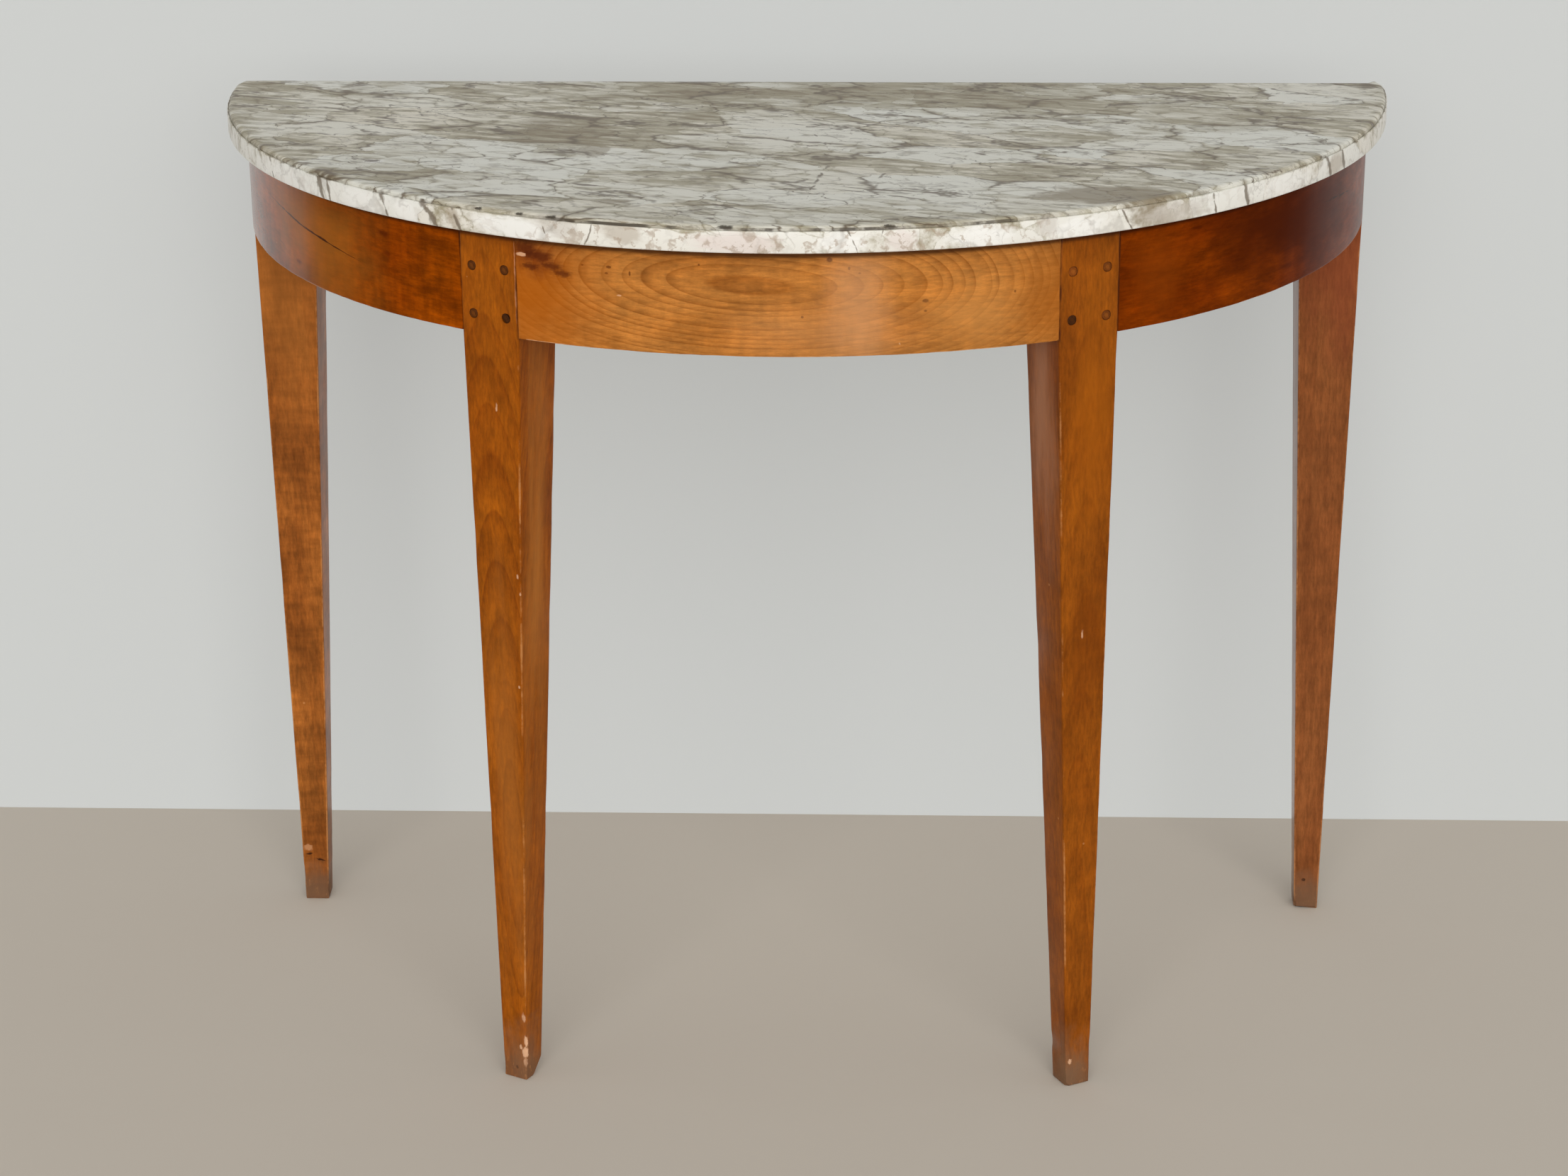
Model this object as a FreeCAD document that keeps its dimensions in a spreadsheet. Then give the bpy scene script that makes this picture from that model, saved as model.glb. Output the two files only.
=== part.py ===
import FreeCAD, Part
import math
import os
import re

import Sketcher
from FreeCAD import Placement, Rotation, Vector

# A half-round console table: four tapered legs, three curved aprons and a straight back rail, joined by
# pegged tenons, with a cross bearer inside and a loose marble slab on top.
# Millimetres and degrees. The origin is on the floor under the middle of the slab, +Z is up, +X is to the
# right and +Y is towards the wall. Every piece is drawn about the centre of the slab's curve, which lies on
# the slab's straight back edge. The right-hand pieces are drawn, and the left-hand ones are mirrored.

SIZES = {
    "table_height": 780,
    "slab_radius": 512,
    "slab_thickness": 21,
    "slab_overhang": 16,
    "slab_band_height": 3.5,
    "slab_ledge_depth": 1.5,
    "slab_lower_arris": 1.2,
    "apron_height": 86,
    "apron_thickness": 24,
    "front_leg_angle": 28.3,
    "front_leg_width": 53,
    "front_foot_width": 22.5,
    "front_leg_face_taper": 14,
    "rear_setback": 16,
    "rear_leg_width": 55,
    "rear_foot_width": 22,
    "rear_leg_outer_taper": 8,
    "back_rail_thickness": 24,
    "tenon_length": 20,
    "tenon_thickness": 9,
    "tenon_setback": 8,
    "tenon_top_shoulder": 16,
    "tenon_bottom_shoulder": 6,
    "mortise_clearance": 0.2,
    "peg_diameter": 7.5,
    "peg_length": 28,
    "peg_inset": 11,
    "peg_upper_drop": 32,
    "peg_lower_drop": 71,
    "peg_proud": 0.3,
    "peg_clearance": 0.05,
    "bearer_width": 40,
    "bearer_height": 24,
    "bearer_shoulder": 6,
    "bearer_stub_length": 10,
}

# Sizes that follow from the driving ones, as expressions in their names
CURVE_CENTRE_Y = "slab_radius / 2"
APRON_RADIUS = "(slab_radius - slab_overhang)"
APRON_INNER_RADIUS = f"({APRON_RADIUS} - apron_thickness)"
FRAME_TOP = "(table_height - slab_thickness)"
APRON_BOTTOM = f"({FRAME_TOP} - apron_height)"
TENON_TOP = f"({FRAME_TOP} - tenon_top_shoulder)"
TENON_BOTTOM = f"({APRON_BOTTOM} + tenon_bottom_shoulder)"
TENON_ROOT = "tenon_setback / 2"
PEG_HEIGHTS = {"upper": f"{FRAME_TOP} - peg_upper_drop", "lower": f"{FRAME_TOP} - peg_lower_drop"}
PEG_RADIUS = "peg_diameter / 2"
PEG_HOLE_RADIUS = "peg_diameter / 2 + peg_clearance"

# Front posts: a flat face whose two edges lie on the aprons' outer curve
FRONT_HALF = "front_leg_width / 2"
FRONT_FACE = f"sqrt({APRON_RADIUS}^2 - ({FRONT_HALF})^2)"
FRONT_PEG_X = f"({FRONT_HALF} - peg_inset)"
FRONT_TENON_Y = (f"-{FRONT_FACE} + tenon_setback", f"-{FRONT_FACE} + tenon_setback + tenon_thickness")

# Rear posts: square to the wall, the outer front corner on the aprons' outer curve
REAR_FACE = "(rear_setback + rear_leg_width)"
REAR_OUTER = f"sqrt({APRON_RADIUS}^2 - {REAR_FACE}^2)"
REAR_INNER = f"({REAR_OUTER} - rear_leg_width)"
SIDE_TENON_X = (f"{REAR_OUTER} - tenon_setback - tenon_thickness", f"{REAR_OUTER} - tenon_setback")
BACK_TENON_Y = ("-rear_setback - tenon_setback - tenon_thickness", "-rear_setback - tenon_setback")
BACK_RAIL_FRONT = "(-rear_setback - back_rail_thickness)"
REAR_SIDE_PEG_Y = f"-{REAR_FACE} + peg_inset"
REAR_BACK_PEG_X = f"{REAR_INNER} + peg_inset"

# Cross bearer: shoulders on the centre apron and the back rail, with a stub tenon at each end
BEARER_FRONT = f"-sqrt({APRON_INNER_RADIUS}^2 - (bearer_width / 2)^2)"
BEARER_BOTTOM = f"({FRAME_TOP} - bearer_height)"
STUB_HALF = "(bearer_width / 2 - bearer_shoulder)"
STUB_TOP = f"({FRAME_TOP} - bearer_shoulder)"
STUB_BOTTOM = f"({BEARER_BOTTOM} + bearer_shoulder)"

START, END, CENTRE = 1, 2, 3
ORIGIN = (-1, 1)

doc = FreeCAD.newDocument("demilune_table")
sheet = doc.addObject("Spreadsheet::Sheet", "Sizes")
for row, (alias, value) in enumerate(SIZES.items(), start=1):
    sheet.set(f"A{row}", alias)
    sheet.set(f"B{row}", str(value))
    sheet.setAlias(f"B{row}", alias)
doc.recompute()


def in_sheet(text):
    """An expression in size names, written with the sheet's own cell names."""
    return re.sub(r"[a-z]+(?:_[a-z]+)+", lambda name: f"Sizes.{name.group()}", text)


def number(text):
    """The present value of an expression in size names."""
    return float(sheet.evalExpression(in_sheet(text)))


def new_body(label, turn=None):
    """An empty body about the centre of the curve, turned round it if need be."""
    body = doc.addObject("PartDesign::Body", label)
    body.Label = label
    body.setExpression("Placement.Base.y", in_sheet(CURVE_CENTRE_Y))
    if turn:
        body.Placement = Placement(Vector(), Rotation(Vector(0, 0, 1), number(turn)))
        body.setExpression("Placement.Rotation.Angle", in_sheet(turn))
    return body


def origin_plane(body, role):
    """One of a body's own three origin planes."""
    return next(plane for plane in body.Origin.OriginFeatures if plane.Role == role)


def new_sketch(body, name, role, lift="0", turn=None):
    """A sketch on an origin plane, lifted along the plane's normal and turned round the vertical."""
    sketch = body.newObject("Sketcher::SketchObject", name)
    sketch.AttachmentSupport = (origin_plane(body, role), [""])
    sketch.MapMode = "FlatFace"
    if turn:
        upright = Vector(0, 0, 1) if role == "XY_Plane" else Vector(0, 1, 0)
        sketch.AttachmentOffset = Placement(Vector(), Rotation(upright, number(turn)))
        sketch.setExpression("AttachmentOffset.Rotation.Angle", in_sheet(turn))
    sketch.setExpression("AttachmentOffset.Base.z", in_sheet(lift))
    return sketch


def constrain(sketch, *terms, text):
    """One dimension of a sketch, tied to an expression in size names."""
    index = sketch.addConstraint(Sketcher.Constraint(*terms, number(text)))
    sketch.setExpression(f"Constraints[{index}]", in_sheet(text))


def locate_along(sketch, point, kind, text):
    """Fixes one of a sketch point's two distances from the sketch's origin."""
    if number(text) < 0:
        constrain(sketch, kind, *point, *ORIGIN, text=f"-({text})")
    else:
        constrain(sketch, kind, *ORIGIN, *point, text=text)


def locate(sketch, point, x, y):
    """Fixes a sketch point by its two distances from the sketch's origin."""
    locate_along(sketch, point, "DistanceX", x)
    locate_along(sketch, point, "DistanceY", y)


def close_loop(sketch, count):
    """Joins the first edges of a sketch end to end."""
    for edge in range(count):
        sketch.addConstraint(Sketcher.Constraint("Coincident", edge, END, (edge + 1) % count, START))


def rectangle(sketch, x_span, y_span):
    """A rectangle given by its spans along x and y."""
    (x_low, x_high), (y_low, y_high) = x_span, y_span
    corners = [(x_low, y_low), (x_high, y_low), (x_high, y_high), (x_low, y_high)]
    points = [Vector(number(x), number(y), 0) for x, y in corners]
    for edge in range(4):
        sketch.addGeometry(Part.LineSegment(points[edge], points[(edge + 1) % 4]))
    close_loop(sketch, 4)
    for edge in (0, 2):
        sketch.addConstraint(Sketcher.Constraint("Horizontal", edge))
    for edge in (1, 3):
        sketch.addConstraint(Sketcher.Constraint("Vertical", edge))
    for edge in (0, 2):
        locate(sketch, (edge, START), *corners[edge])


def circles(sketch, centres, radius):
    """Equal circles at the given centres."""
    for x, y in centres:
        centre = Vector(number(x), number(y), 0)
        index = sketch.addGeometry(Part.Circle(centre, Vector(0, 0, 1), number(radius)))
        constrain(sketch, "Radius", index, text=radius)
        locate(sketch, (index, CENTRE), x, y)


def end_point(radius, end):
    """Where a circle about the origin meets a plane that faces sideways in a turned frame."""
    turn, side = number(end[0]), number(end[1])
    forward = -math.sqrt(number(radius) ** 2 - side ** 2)
    return Rotation(Vector(0, 0, 1), turn).multVec(Vector(side, forward, 0))


def curved_bar(sketch, first_end, last_end):
    """The plan of an apron: two arcs about the origin and two straight ends.

    Each end is a frame's turn round the origin and the sideways place of the end's plane in that frame.
    """
    arcs = []
    for radius in (APRON_RADIUS, APRON_INNER_RADIUS):
        first, last = end_point(radius, first_end), end_point(radius, last_end)
        angles = [math.atan2(point.y, point.x) for point in (first, last)]
        circle = Part.Circle(Vector(), Vector(0, 0, 1), number(radius))
        arcs.append(sketch.addGeometry(Part.ArcOfCircle(circle, *angles)))
        sketch.addConstraint(Sketcher.Constraint("Coincident", arcs[-1], CENTRE, *ORIGIN))
        constrain(sketch, "Radius", arcs[-1], text=radius)
    outer, inner = arcs
    for end, corner in ((first_end, START), (last_end, END)):
        points = [end_point(radius, end) for radius in (APRON_RADIUS, APRON_INNER_RADIUS)]
        line = sketch.addGeometry(Part.LineSegment(*points))
        sketch.addConstraint(Sketcher.Constraint("Coincident", line, START, outer, corner))
        sketch.addConstraint(Sketcher.Constraint("Coincident", line, END, inner, corner))
        inwards = f"90 + {end[0]}"
        index = sketch.addConstraint(Sketcher.Constraint("Angle", line, math.radians(number(inwards))))
        sketch.setExpression(f"Constraints[{index}]", in_sheet(inwards))
        constrain(sketch, "Distance", *ORIGIN, line, text=f"abs({end[1]})")


def pad(body, sketch, length, forward=True):
    """Raises a sketch along its normal, or against it."""
    feature = body.newObject("PartDesign::Pad", f"{sketch.Name}_pad")
    feature.Profile = sketch
    feature.setExpression("Length", in_sheet(length))
    feature.Reversed = not forward
    doc.recompute()
    return feature


def pocket(body, sketch, length=None, forward=False):
    """Sinks a sketch against its normal, or along it, to a depth or right through."""
    before = body.Shape.Volume
    feature = body.newObject("PartDesign::Pocket", f"{sketch.Name}_pocket")
    feature.Profile = sketch
    feature.Reversed = forward
    if length:
        feature.setExpression("Length", in_sheet(length))
    else:
        feature.Type = "ThroughAll"
    doc.recompute()
    if not body.Shape.Volume < before:
        raise RuntimeError(f"{feature.Name} takes nothing away")
    return feature


def block(body, name, x_span, y_span, z_span, turn=None):
    """Adds a rectangular block, drawn in plan."""
    sketch = new_sketch(body, name, "XY_Plane", lift=z_span[0], turn=turn)
    rectangle(sketch, x_span, y_span)
    return pad(body, sketch, f"{z_span[1]} - {z_span[0]}")


def socket(body, name, x_span, y_span, z_span):
    """Cuts a rectangular mortise that clears its tenon all round."""
    spans = []
    for low, high in (x_span, y_span, z_span):
        spans.append((f"{low} - mortise_clearance", f"{high} + mortise_clearance"))
    sketch = new_sketch(body, name, "XY_Plane", lift=spans[2][1])
    rectangle(sketch, spans[0], spans[1])
    return pocket(body, sketch, f"{z_span[1]} - {z_span[0]} + 2 * mortise_clearance")


def tapered_leg(body, x_span, y_span, foot_x_span, foot_y_span):
    """A square post beside the aprons and a leg below it that tapers to its foot."""
    block(body, f"{body.Name}_post", x_span, y_span, (APRON_BOTTOM, FRAME_TOP))
    knee = new_sketch(body, f"{body.Name}_knee", "XY_Plane", lift=APRON_BOTTOM)
    rectangle(knee, x_span, y_span)
    foot = new_sketch(body, f"{body.Name}_foot", "XY_Plane")
    rectangle(foot, foot_x_span, foot_y_span)
    loft = body.newObject("PartDesign::AdditiveLoft", f"{body.Name}_taper")
    loft.Profile = knee
    loft.Sections = [foot]
    loft.Ruled = True
    doc.recompute()


def peg_points(across):
    """The two places, one above the other, where pegs go through a tenon."""
    return [(across, height) for height in PEG_HEIGHTS.values()]


def mirrored(source):
    """The left-hand twin of a right-hand piece."""
    label = source.Label.replace("right", "left")
    twin = doc.addObject("Part::Mirroring", label)
    twin.Label = label
    twin.Source = source
    twin.Normal = Vector(1, 0, 0)
    return twin


def make_marble_top():
    """Half-round slab: small lower arris, upright face, sunk ledge and convex band, spun half a turn."""
    body = new_body("marble_top")
    sketch = new_sketch(body, "slab_section", "XZ_Plane")
    lower_centre = ("slab_radius - slab_lower_arris", f"{FRAME_TOP} + slab_lower_arris")
    ledge_height = "table_height - slab_band_height"
    band_centre = ("slab_radius - slab_ledge_depth - slab_band_height", ledge_height)
    corners = [
        ("0", FRAME_TOP),
        (lower_centre[0], FRAME_TOP),
        ("slab_radius", lower_centre[1]),
        ("slab_radius", ledge_height),
        ("slab_radius - slab_ledge_depth", ledge_height),
        (band_centre[0], "table_height"),
        ("0", "table_height"),
    ]
    rounded = {1: (lower_centre, "slab_lower_arris", -90, 0), 4: (band_centre, "slab_band_height", 0, 90)}
    points = [Vector(number(x), number(y), 0) for x, y in corners]
    for edge, point in enumerate(points):
        if edge in rounded:
            (x, y), radius, first, last = rounded[edge]
            circle = Part.Circle(Vector(number(x), number(y), 0), Vector(0, 0, 1), number(radius))
            sketch.addGeometry(Part.ArcOfCircle(circle, math.radians(first), math.radians(last)))
            locate(sketch, (edge, CENTRE), x, y)
        else:
            sketch.addGeometry(Part.LineSegment(point, points[(edge + 1) % len(points)]))
    close_loop(sketch, len(points))
    for corner in (0, 1, 3, 4, 6):
        locate(sketch, (corner, START), *corners[corner])
    locate_along(sketch, (1, END), "DistanceY", lower_centre[1])
    locate_along(sketch, (4, END), "DistanceX", band_centre[0])
    spin = body.newObject("PartDesign::Revolution", "slab_spin")
    spin.Profile = sketch
    spin.ReferenceAxis = (sketch, ["V_Axis"])
    spin.Angle = 180
    spin.Reversed = True
    doc.recompute()
    return body


def make_apron_centre():
    """Curved apron between the front legs, with a tenon at each end and a mortise for the cross bearer."""
    body = new_body("apron_centre")
    plan = new_sketch(body, "apron_centre_plan", "XY_Plane", lift=APRON_BOTTOM)
    curved_bar(plan, ("-front_leg_angle", FRONT_HALF), ("front_leg_angle", f"-{FRONT_HALF}"))
    pad(body, plan, "apron_height")
    tenon_x = (f"-{FRONT_HALF} - {TENON_ROOT}", f"-{FRONT_HALF} + tenon_length")
    tenon_z = (TENON_BOTTOM, TENON_TOP)
    tenon = block(body, "apron_centre_tenon", tenon_x, FRONT_TENON_Y, tenon_z, turn="front_leg_angle")
    holes = new_sketch(body, "apron_centre_holes", "XZ_Plane", turn="front_leg_angle")
    circles(holes, peg_points(f"-{FRONT_PEG_X}"), PEG_HOLE_RADIUS)
    drilled = pocket(body, holes, forward=True)
    twins = body.newObject("PartDesign::Mirrored", "apron_centre_ends")
    twins.Originals = [tenon, drilled]
    twins.MirrorPlane = (origin_plane(body, "YZ_Plane"), [""])
    body.Tip = twins
    doc.recompute()
    stub_y = (f"-{APRON_INNER_RADIUS} - bearer_stub_length", f"-{APRON_INNER_RADIUS} + bearer_shoulder")
    socket(body, "apron_centre_socket", (f"-{STUB_HALF}", STUB_HALF), stub_y, (STUB_BOTTOM, STUB_TOP))
    return body


def make_apron_side():
    """Curved apron from a front leg's outer side to the rear leg's front face, with a tenon at each end."""
    body = new_body("apron_right")
    plan = new_sketch(body, "apron_right_plan", "XY_Plane", lift=APRON_BOTTOM)
    curved_bar(plan, ("front_leg_angle", FRONT_HALF), ("90", f"-{REAR_FACE}"))
    pad(body, plan, "apron_height")
    tenon_z = (TENON_BOTTOM, TENON_TOP)
    front_x = (f"{FRONT_HALF} - tenon_length", f"{FRONT_HALF} + {TENON_ROOT}")
    block(body, "apron_right_front_tenon", front_x, FRONT_TENON_Y, tenon_z, turn="front_leg_angle")
    rear_y = (f"-{REAR_FACE} - {TENON_ROOT}", f"-{REAR_FACE} + tenon_length")
    block(body, "apron_right_rear_tenon", SIDE_TENON_X, rear_y, tenon_z)
    front_holes = new_sketch(body, "apron_right_front_holes", "XZ_Plane", turn="front_leg_angle")
    circles(front_holes, peg_points(FRONT_PEG_X), PEG_HOLE_RADIUS)
    pocket(body, front_holes, forward=True)
    rear_holes = new_sketch(body, "apron_right_rear_holes", "YZ_Plane")
    circles(rear_holes, peg_points(REAR_SIDE_PEG_Y), PEG_HOLE_RADIUS)
    pocket(body, rear_holes, forward=True)
    return body


def make_back_rail():
    """Straight rail between the rear legs, with a tenon at each end and a mortise for the cross bearer."""
    body = new_body("back_rail")
    rail_y = (BACK_RAIL_FRONT, "-rear_setback")
    block(body, "back_rail_bar", (f"-{REAR_INNER}", REAR_INNER), rail_y, (APRON_BOTTOM, FRAME_TOP))
    tenon_x = (f"-{REAR_INNER} - tenon_length", f"{REAR_INNER} + tenon_length")
    block(body, "back_rail_tenons", tenon_x, BACK_TENON_Y, (TENON_BOTTOM, TENON_TOP))
    holes = new_sketch(body, "back_rail_holes", "XZ_Plane")
    circles(holes, peg_points(REAR_BACK_PEG_X) + peg_points(f"-({REAR_BACK_PEG_X})"), PEG_HOLE_RADIUS)
    pocket(body, holes, forward=True)
    stub_y = (BACK_RAIL_FRONT, f"{BACK_RAIL_FRONT} + bearer_stub_length")
    socket(body, "back_rail_socket", (f"-{STUB_HALF}", STUB_HALF), stub_y, (STUB_BOTTOM, STUB_TOP))
    return body


def make_cross_bearer():
    """Bearer from the centre apron to the back rail, with a stub tenon at each end."""
    body = new_body("cross_bearer")
    half = "bearer_width / 2"
    block(body, "bearer_bar", (f"-{half}", half), (BEARER_FRONT, BACK_RAIL_FRONT), (BEARER_BOTTOM, FRAME_TOP))
    stub_y = (f"-{APRON_INNER_RADIUS} - bearer_stub_length", f"{BACK_RAIL_FRONT} + bearer_stub_length")
    block(body, "bearer_stubs", (f"-{STUB_HALF}", STUB_HALF), stub_y, (STUB_BOTTOM, STUB_TOP))
    return body


def make_leg_front():
    """Front leg, turned to face out along the curve: upright outer side, the other three faces tapered."""
    body = new_body("leg_front_right", turn="front_leg_angle")
    foot_front = f"-{FRONT_FACE} + front_leg_face_taper"
    tapered_leg(
        body,
        x_span=(f"-{FRONT_HALF}", FRONT_HALF),
        y_span=(f"-{FRONT_FACE}", f"-{FRONT_FACE} + front_leg_width"),
        foot_x_span=(f"{FRONT_HALF} - front_foot_width", FRONT_HALF),
        foot_y_span=(foot_front, f"{foot_front} + front_foot_width"),
    )
    tenon_z = (TENON_BOTTOM, TENON_TOP)
    inner_x = (f"-{FRONT_HALF}", f"-{FRONT_HALF} + tenon_length")
    outer_x = (f"{FRONT_HALF} - tenon_length", FRONT_HALF)
    socket(body, "leg_front_right_inner_mortise", inner_x, FRONT_TENON_Y, tenon_z)
    socket(body, "leg_front_right_outer_mortise", outer_x, FRONT_TENON_Y, tenon_z)
    holes = new_sketch(body, "leg_front_right_holes", "XZ_Plane", lift=FRONT_FACE)
    circles(holes, peg_points(f"-{FRONT_PEG_X}") + peg_points(FRONT_PEG_X), PEG_HOLE_RADIUS)
    pocket(body, holes, "peg_length")
    return body


def make_leg_rear():
    """Rear leg, square to the wall: upright front face, the other three faces tapered."""
    body = new_body("leg_rear_right")
    foot_outer = f"{REAR_OUTER} - rear_leg_outer_taper"
    tapered_leg(
        body,
        x_span=(REAR_INNER, REAR_OUTER),
        y_span=(f"-{REAR_FACE}", "-rear_setback"),
        foot_x_span=(f"{foot_outer} - rear_foot_width", foot_outer),
        foot_y_span=(f"-{REAR_FACE}", f"-{REAR_FACE} + rear_foot_width"),
    )
    tenon_z = (TENON_BOTTOM, TENON_TOP)
    side_y = (f"-{REAR_FACE}", f"-{REAR_FACE} + tenon_length")
    back_x = (REAR_INNER, f"{REAR_INNER} + tenon_length")
    socket(body, "leg_rear_right_side_mortise", SIDE_TENON_X, side_y, tenon_z)
    socket(body, "leg_rear_right_back_mortise", back_x, BACK_TENON_Y, tenon_z)
    side_holes = new_sketch(body, "leg_rear_right_side_holes", "YZ_Plane", lift=REAR_OUTER)
    circles(side_holes, peg_points(REAR_SIDE_PEG_Y), PEG_HOLE_RADIUS)
    pocket(body, side_holes, "peg_length")
    back_holes = new_sketch(body, "leg_rear_right_back_holes", "XZ_Plane", lift="rear_setback")
    circles(back_holes, peg_points(REAR_BACK_PEG_X), PEG_HOLE_RADIUS)
    pocket(body, back_holes, "peg_length", forward=True)
    return body


def make_peg(label, role, lift, point, forward, turn=None):
    """A round peg driven from a post's face through the tenon behind it."""
    body = new_body(label, turn=turn)
    sketch = new_sketch(body, f"{label}_end", role, lift=lift)
    circles(sketch, [point], PEG_RADIUS)
    pad(body, sketch, "peg_length", forward=forward)
    return body


def make_pegs():
    """The right-hand pegs: two for each tenon of both right legs."""
    front_lift = f"{FRONT_FACE} + peg_proud"
    side_lift = f"{REAR_OUTER} + peg_proud"
    back_lift = "rear_setback - peg_proud"
    front_pegs = {"inner": f"-{FRONT_PEG_X}", "outer": FRONT_PEG_X}
    pegs = []
    for level, height in PEG_HEIGHTS.items():
        for side, across in front_pegs.items():
            label = f"peg_front_right_{side}_{level}"
            point = (across, height)
            pegs.append(make_peg(label, "XZ_Plane", front_lift, point, False, turn="front_leg_angle"))
        label = f"peg_rear_right_side_{level}"
        pegs.append(make_peg(label, "YZ_Plane", side_lift, (REAR_SIDE_PEG_Y, height), False))
        label = f"peg_rear_right_back_{level}"
        pegs.append(make_peg(label, "XZ_Plane", back_lift, (REAR_BACK_PEG_X, height), True))
    return pegs


def check(nodes):
    """Stops if any object of the document failed or any piece isn't one sound solid."""
    for item in doc.Objects:
        if "Invalid" in item.State or "Error" in item.State:
            raise RuntimeError(f"{item.Name} failed: {item.State}")
    for node in nodes:
        if node.Shape.isNull() or not node.Shape.isValid() or len(node.Shape.Solids) != 1:
            raise RuntimeError(f"{node.Label} isn't one sound solid")


right_hand = [make_apron_side(), make_leg_front(), make_leg_rear(), *make_pegs()]
single = [make_marble_top(), make_apron_centre(), make_back_rail(), make_cross_bearer()]
nodes = single + right_hand + [mirrored(piece) for piece in right_hand]
doc.recompute()
check(nodes)

os.makedirs("parts", exist_ok=True)
for node in nodes:
    node.Shape.exportStep(f"parts/{node.Label}.step")
    print(f"{node.Label}: {node.Shape.Volume / 1000:.2f} cm3")
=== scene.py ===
"""Looks of a demilune console table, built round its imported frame.

A half-round slab of veined marble lies loose on a frame of curved aprons and square tapered legs, which
pegged mortise-and-tenon joints hold together. Lengths are metres in the part's own frame: X to the right,
Y to the wall and Z up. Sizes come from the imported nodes, and only the wear and the finishes are set here.
"""

import logging
import math
from dataclasses import dataclass
from enum import Enum
from functools import partial, reduce
from typing import Callable, Iterable, Sequence

import bmesh
import bpy
from mathutils import Matrix, Vector, noise


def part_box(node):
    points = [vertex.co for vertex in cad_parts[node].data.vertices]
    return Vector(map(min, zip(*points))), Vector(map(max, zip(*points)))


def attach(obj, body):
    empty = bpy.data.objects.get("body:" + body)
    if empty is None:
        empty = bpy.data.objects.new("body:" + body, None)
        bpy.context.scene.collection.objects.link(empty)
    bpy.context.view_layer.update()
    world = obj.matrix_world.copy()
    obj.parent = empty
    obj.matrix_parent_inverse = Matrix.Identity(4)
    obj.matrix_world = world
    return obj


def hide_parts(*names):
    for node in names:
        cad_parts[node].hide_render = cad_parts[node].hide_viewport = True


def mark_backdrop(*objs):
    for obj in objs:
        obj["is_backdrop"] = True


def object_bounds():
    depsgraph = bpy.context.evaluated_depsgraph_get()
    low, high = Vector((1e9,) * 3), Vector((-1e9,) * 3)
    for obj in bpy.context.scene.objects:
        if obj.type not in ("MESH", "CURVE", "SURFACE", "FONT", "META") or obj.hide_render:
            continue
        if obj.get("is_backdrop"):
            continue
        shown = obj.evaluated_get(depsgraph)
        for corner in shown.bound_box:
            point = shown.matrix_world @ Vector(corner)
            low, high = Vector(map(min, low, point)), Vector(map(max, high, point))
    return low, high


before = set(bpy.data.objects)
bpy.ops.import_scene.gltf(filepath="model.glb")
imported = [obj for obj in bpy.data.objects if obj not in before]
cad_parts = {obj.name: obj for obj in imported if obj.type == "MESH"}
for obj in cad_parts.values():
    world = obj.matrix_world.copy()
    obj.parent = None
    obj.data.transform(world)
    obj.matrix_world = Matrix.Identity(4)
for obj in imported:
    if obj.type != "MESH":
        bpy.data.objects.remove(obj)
CAD_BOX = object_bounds()

MM = 0.001
SAME_LEVEL = 0.2 * MM
ON_PLANE = 1e-7
SAME_POINT = 1e-6
SHARP_CORNER = math.radians(50)
SMOOTH_UP_TO = math.radians(40)
UPRIGHT_GRAIN = math.radians(-90)
UP = Vector((0.0, 0.0, 1.0))
ORIGIN = (0.0, 0.0, 0.0)
HALF = (0.5, 0.5, 0.5)
log = logging.getLogger("demilune")

Colour = tuple[float, float, float, float]
Triple = tuple[float, float, float]
Socket = bpy.types.NodeSocket
Feed = Socket | float | Sequence[float]


class Body(Enum):
    """The two bodies that move apart."""

    FRAME = "frame"
    SLAB = "slab"


class Slot(Enum):
    """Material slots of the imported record."""

    MARBLE = "marble"
    APRON = "apron_wood"
    LEG = "leg_wood"
    INNER = "inner_wood"
    PEG = "peg_wood"


class Hand(Enum):
    """Side of the table, as the sign of X."""

    LEFT = -1
    RIGHT = 1

    @property
    def word(self) -> str:
        """The side as it stands in node names."""
        return self.name.lower()


def mm(x: float, y: float, z: float) -> Triple:
    """Turns a place or a size in millimetres into metres."""
    return (x * MM, y * MM, z * MM)


def tone(red: int, green: int, blue: int) -> Colour:
    """Turns a colour as the eye sees it, in parts of 255, into the linear colour that a shader takes."""
    shares = (channel / 255 for channel in (red, green, blue))
    return (*(s / 12.92 if s <= 0.04045 else ((s + 0.055) / 1.055) ** 2.4 for s in shares), 1.0)


def smoothstep(low: float, high: float, value: float) -> float:
    """Eases a value from 0 at low to 1 at high."""
    share = min(1.0, max(0.0, (value - low) / (high - low)))
    return share * share * (3 - 2 * share)


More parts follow.
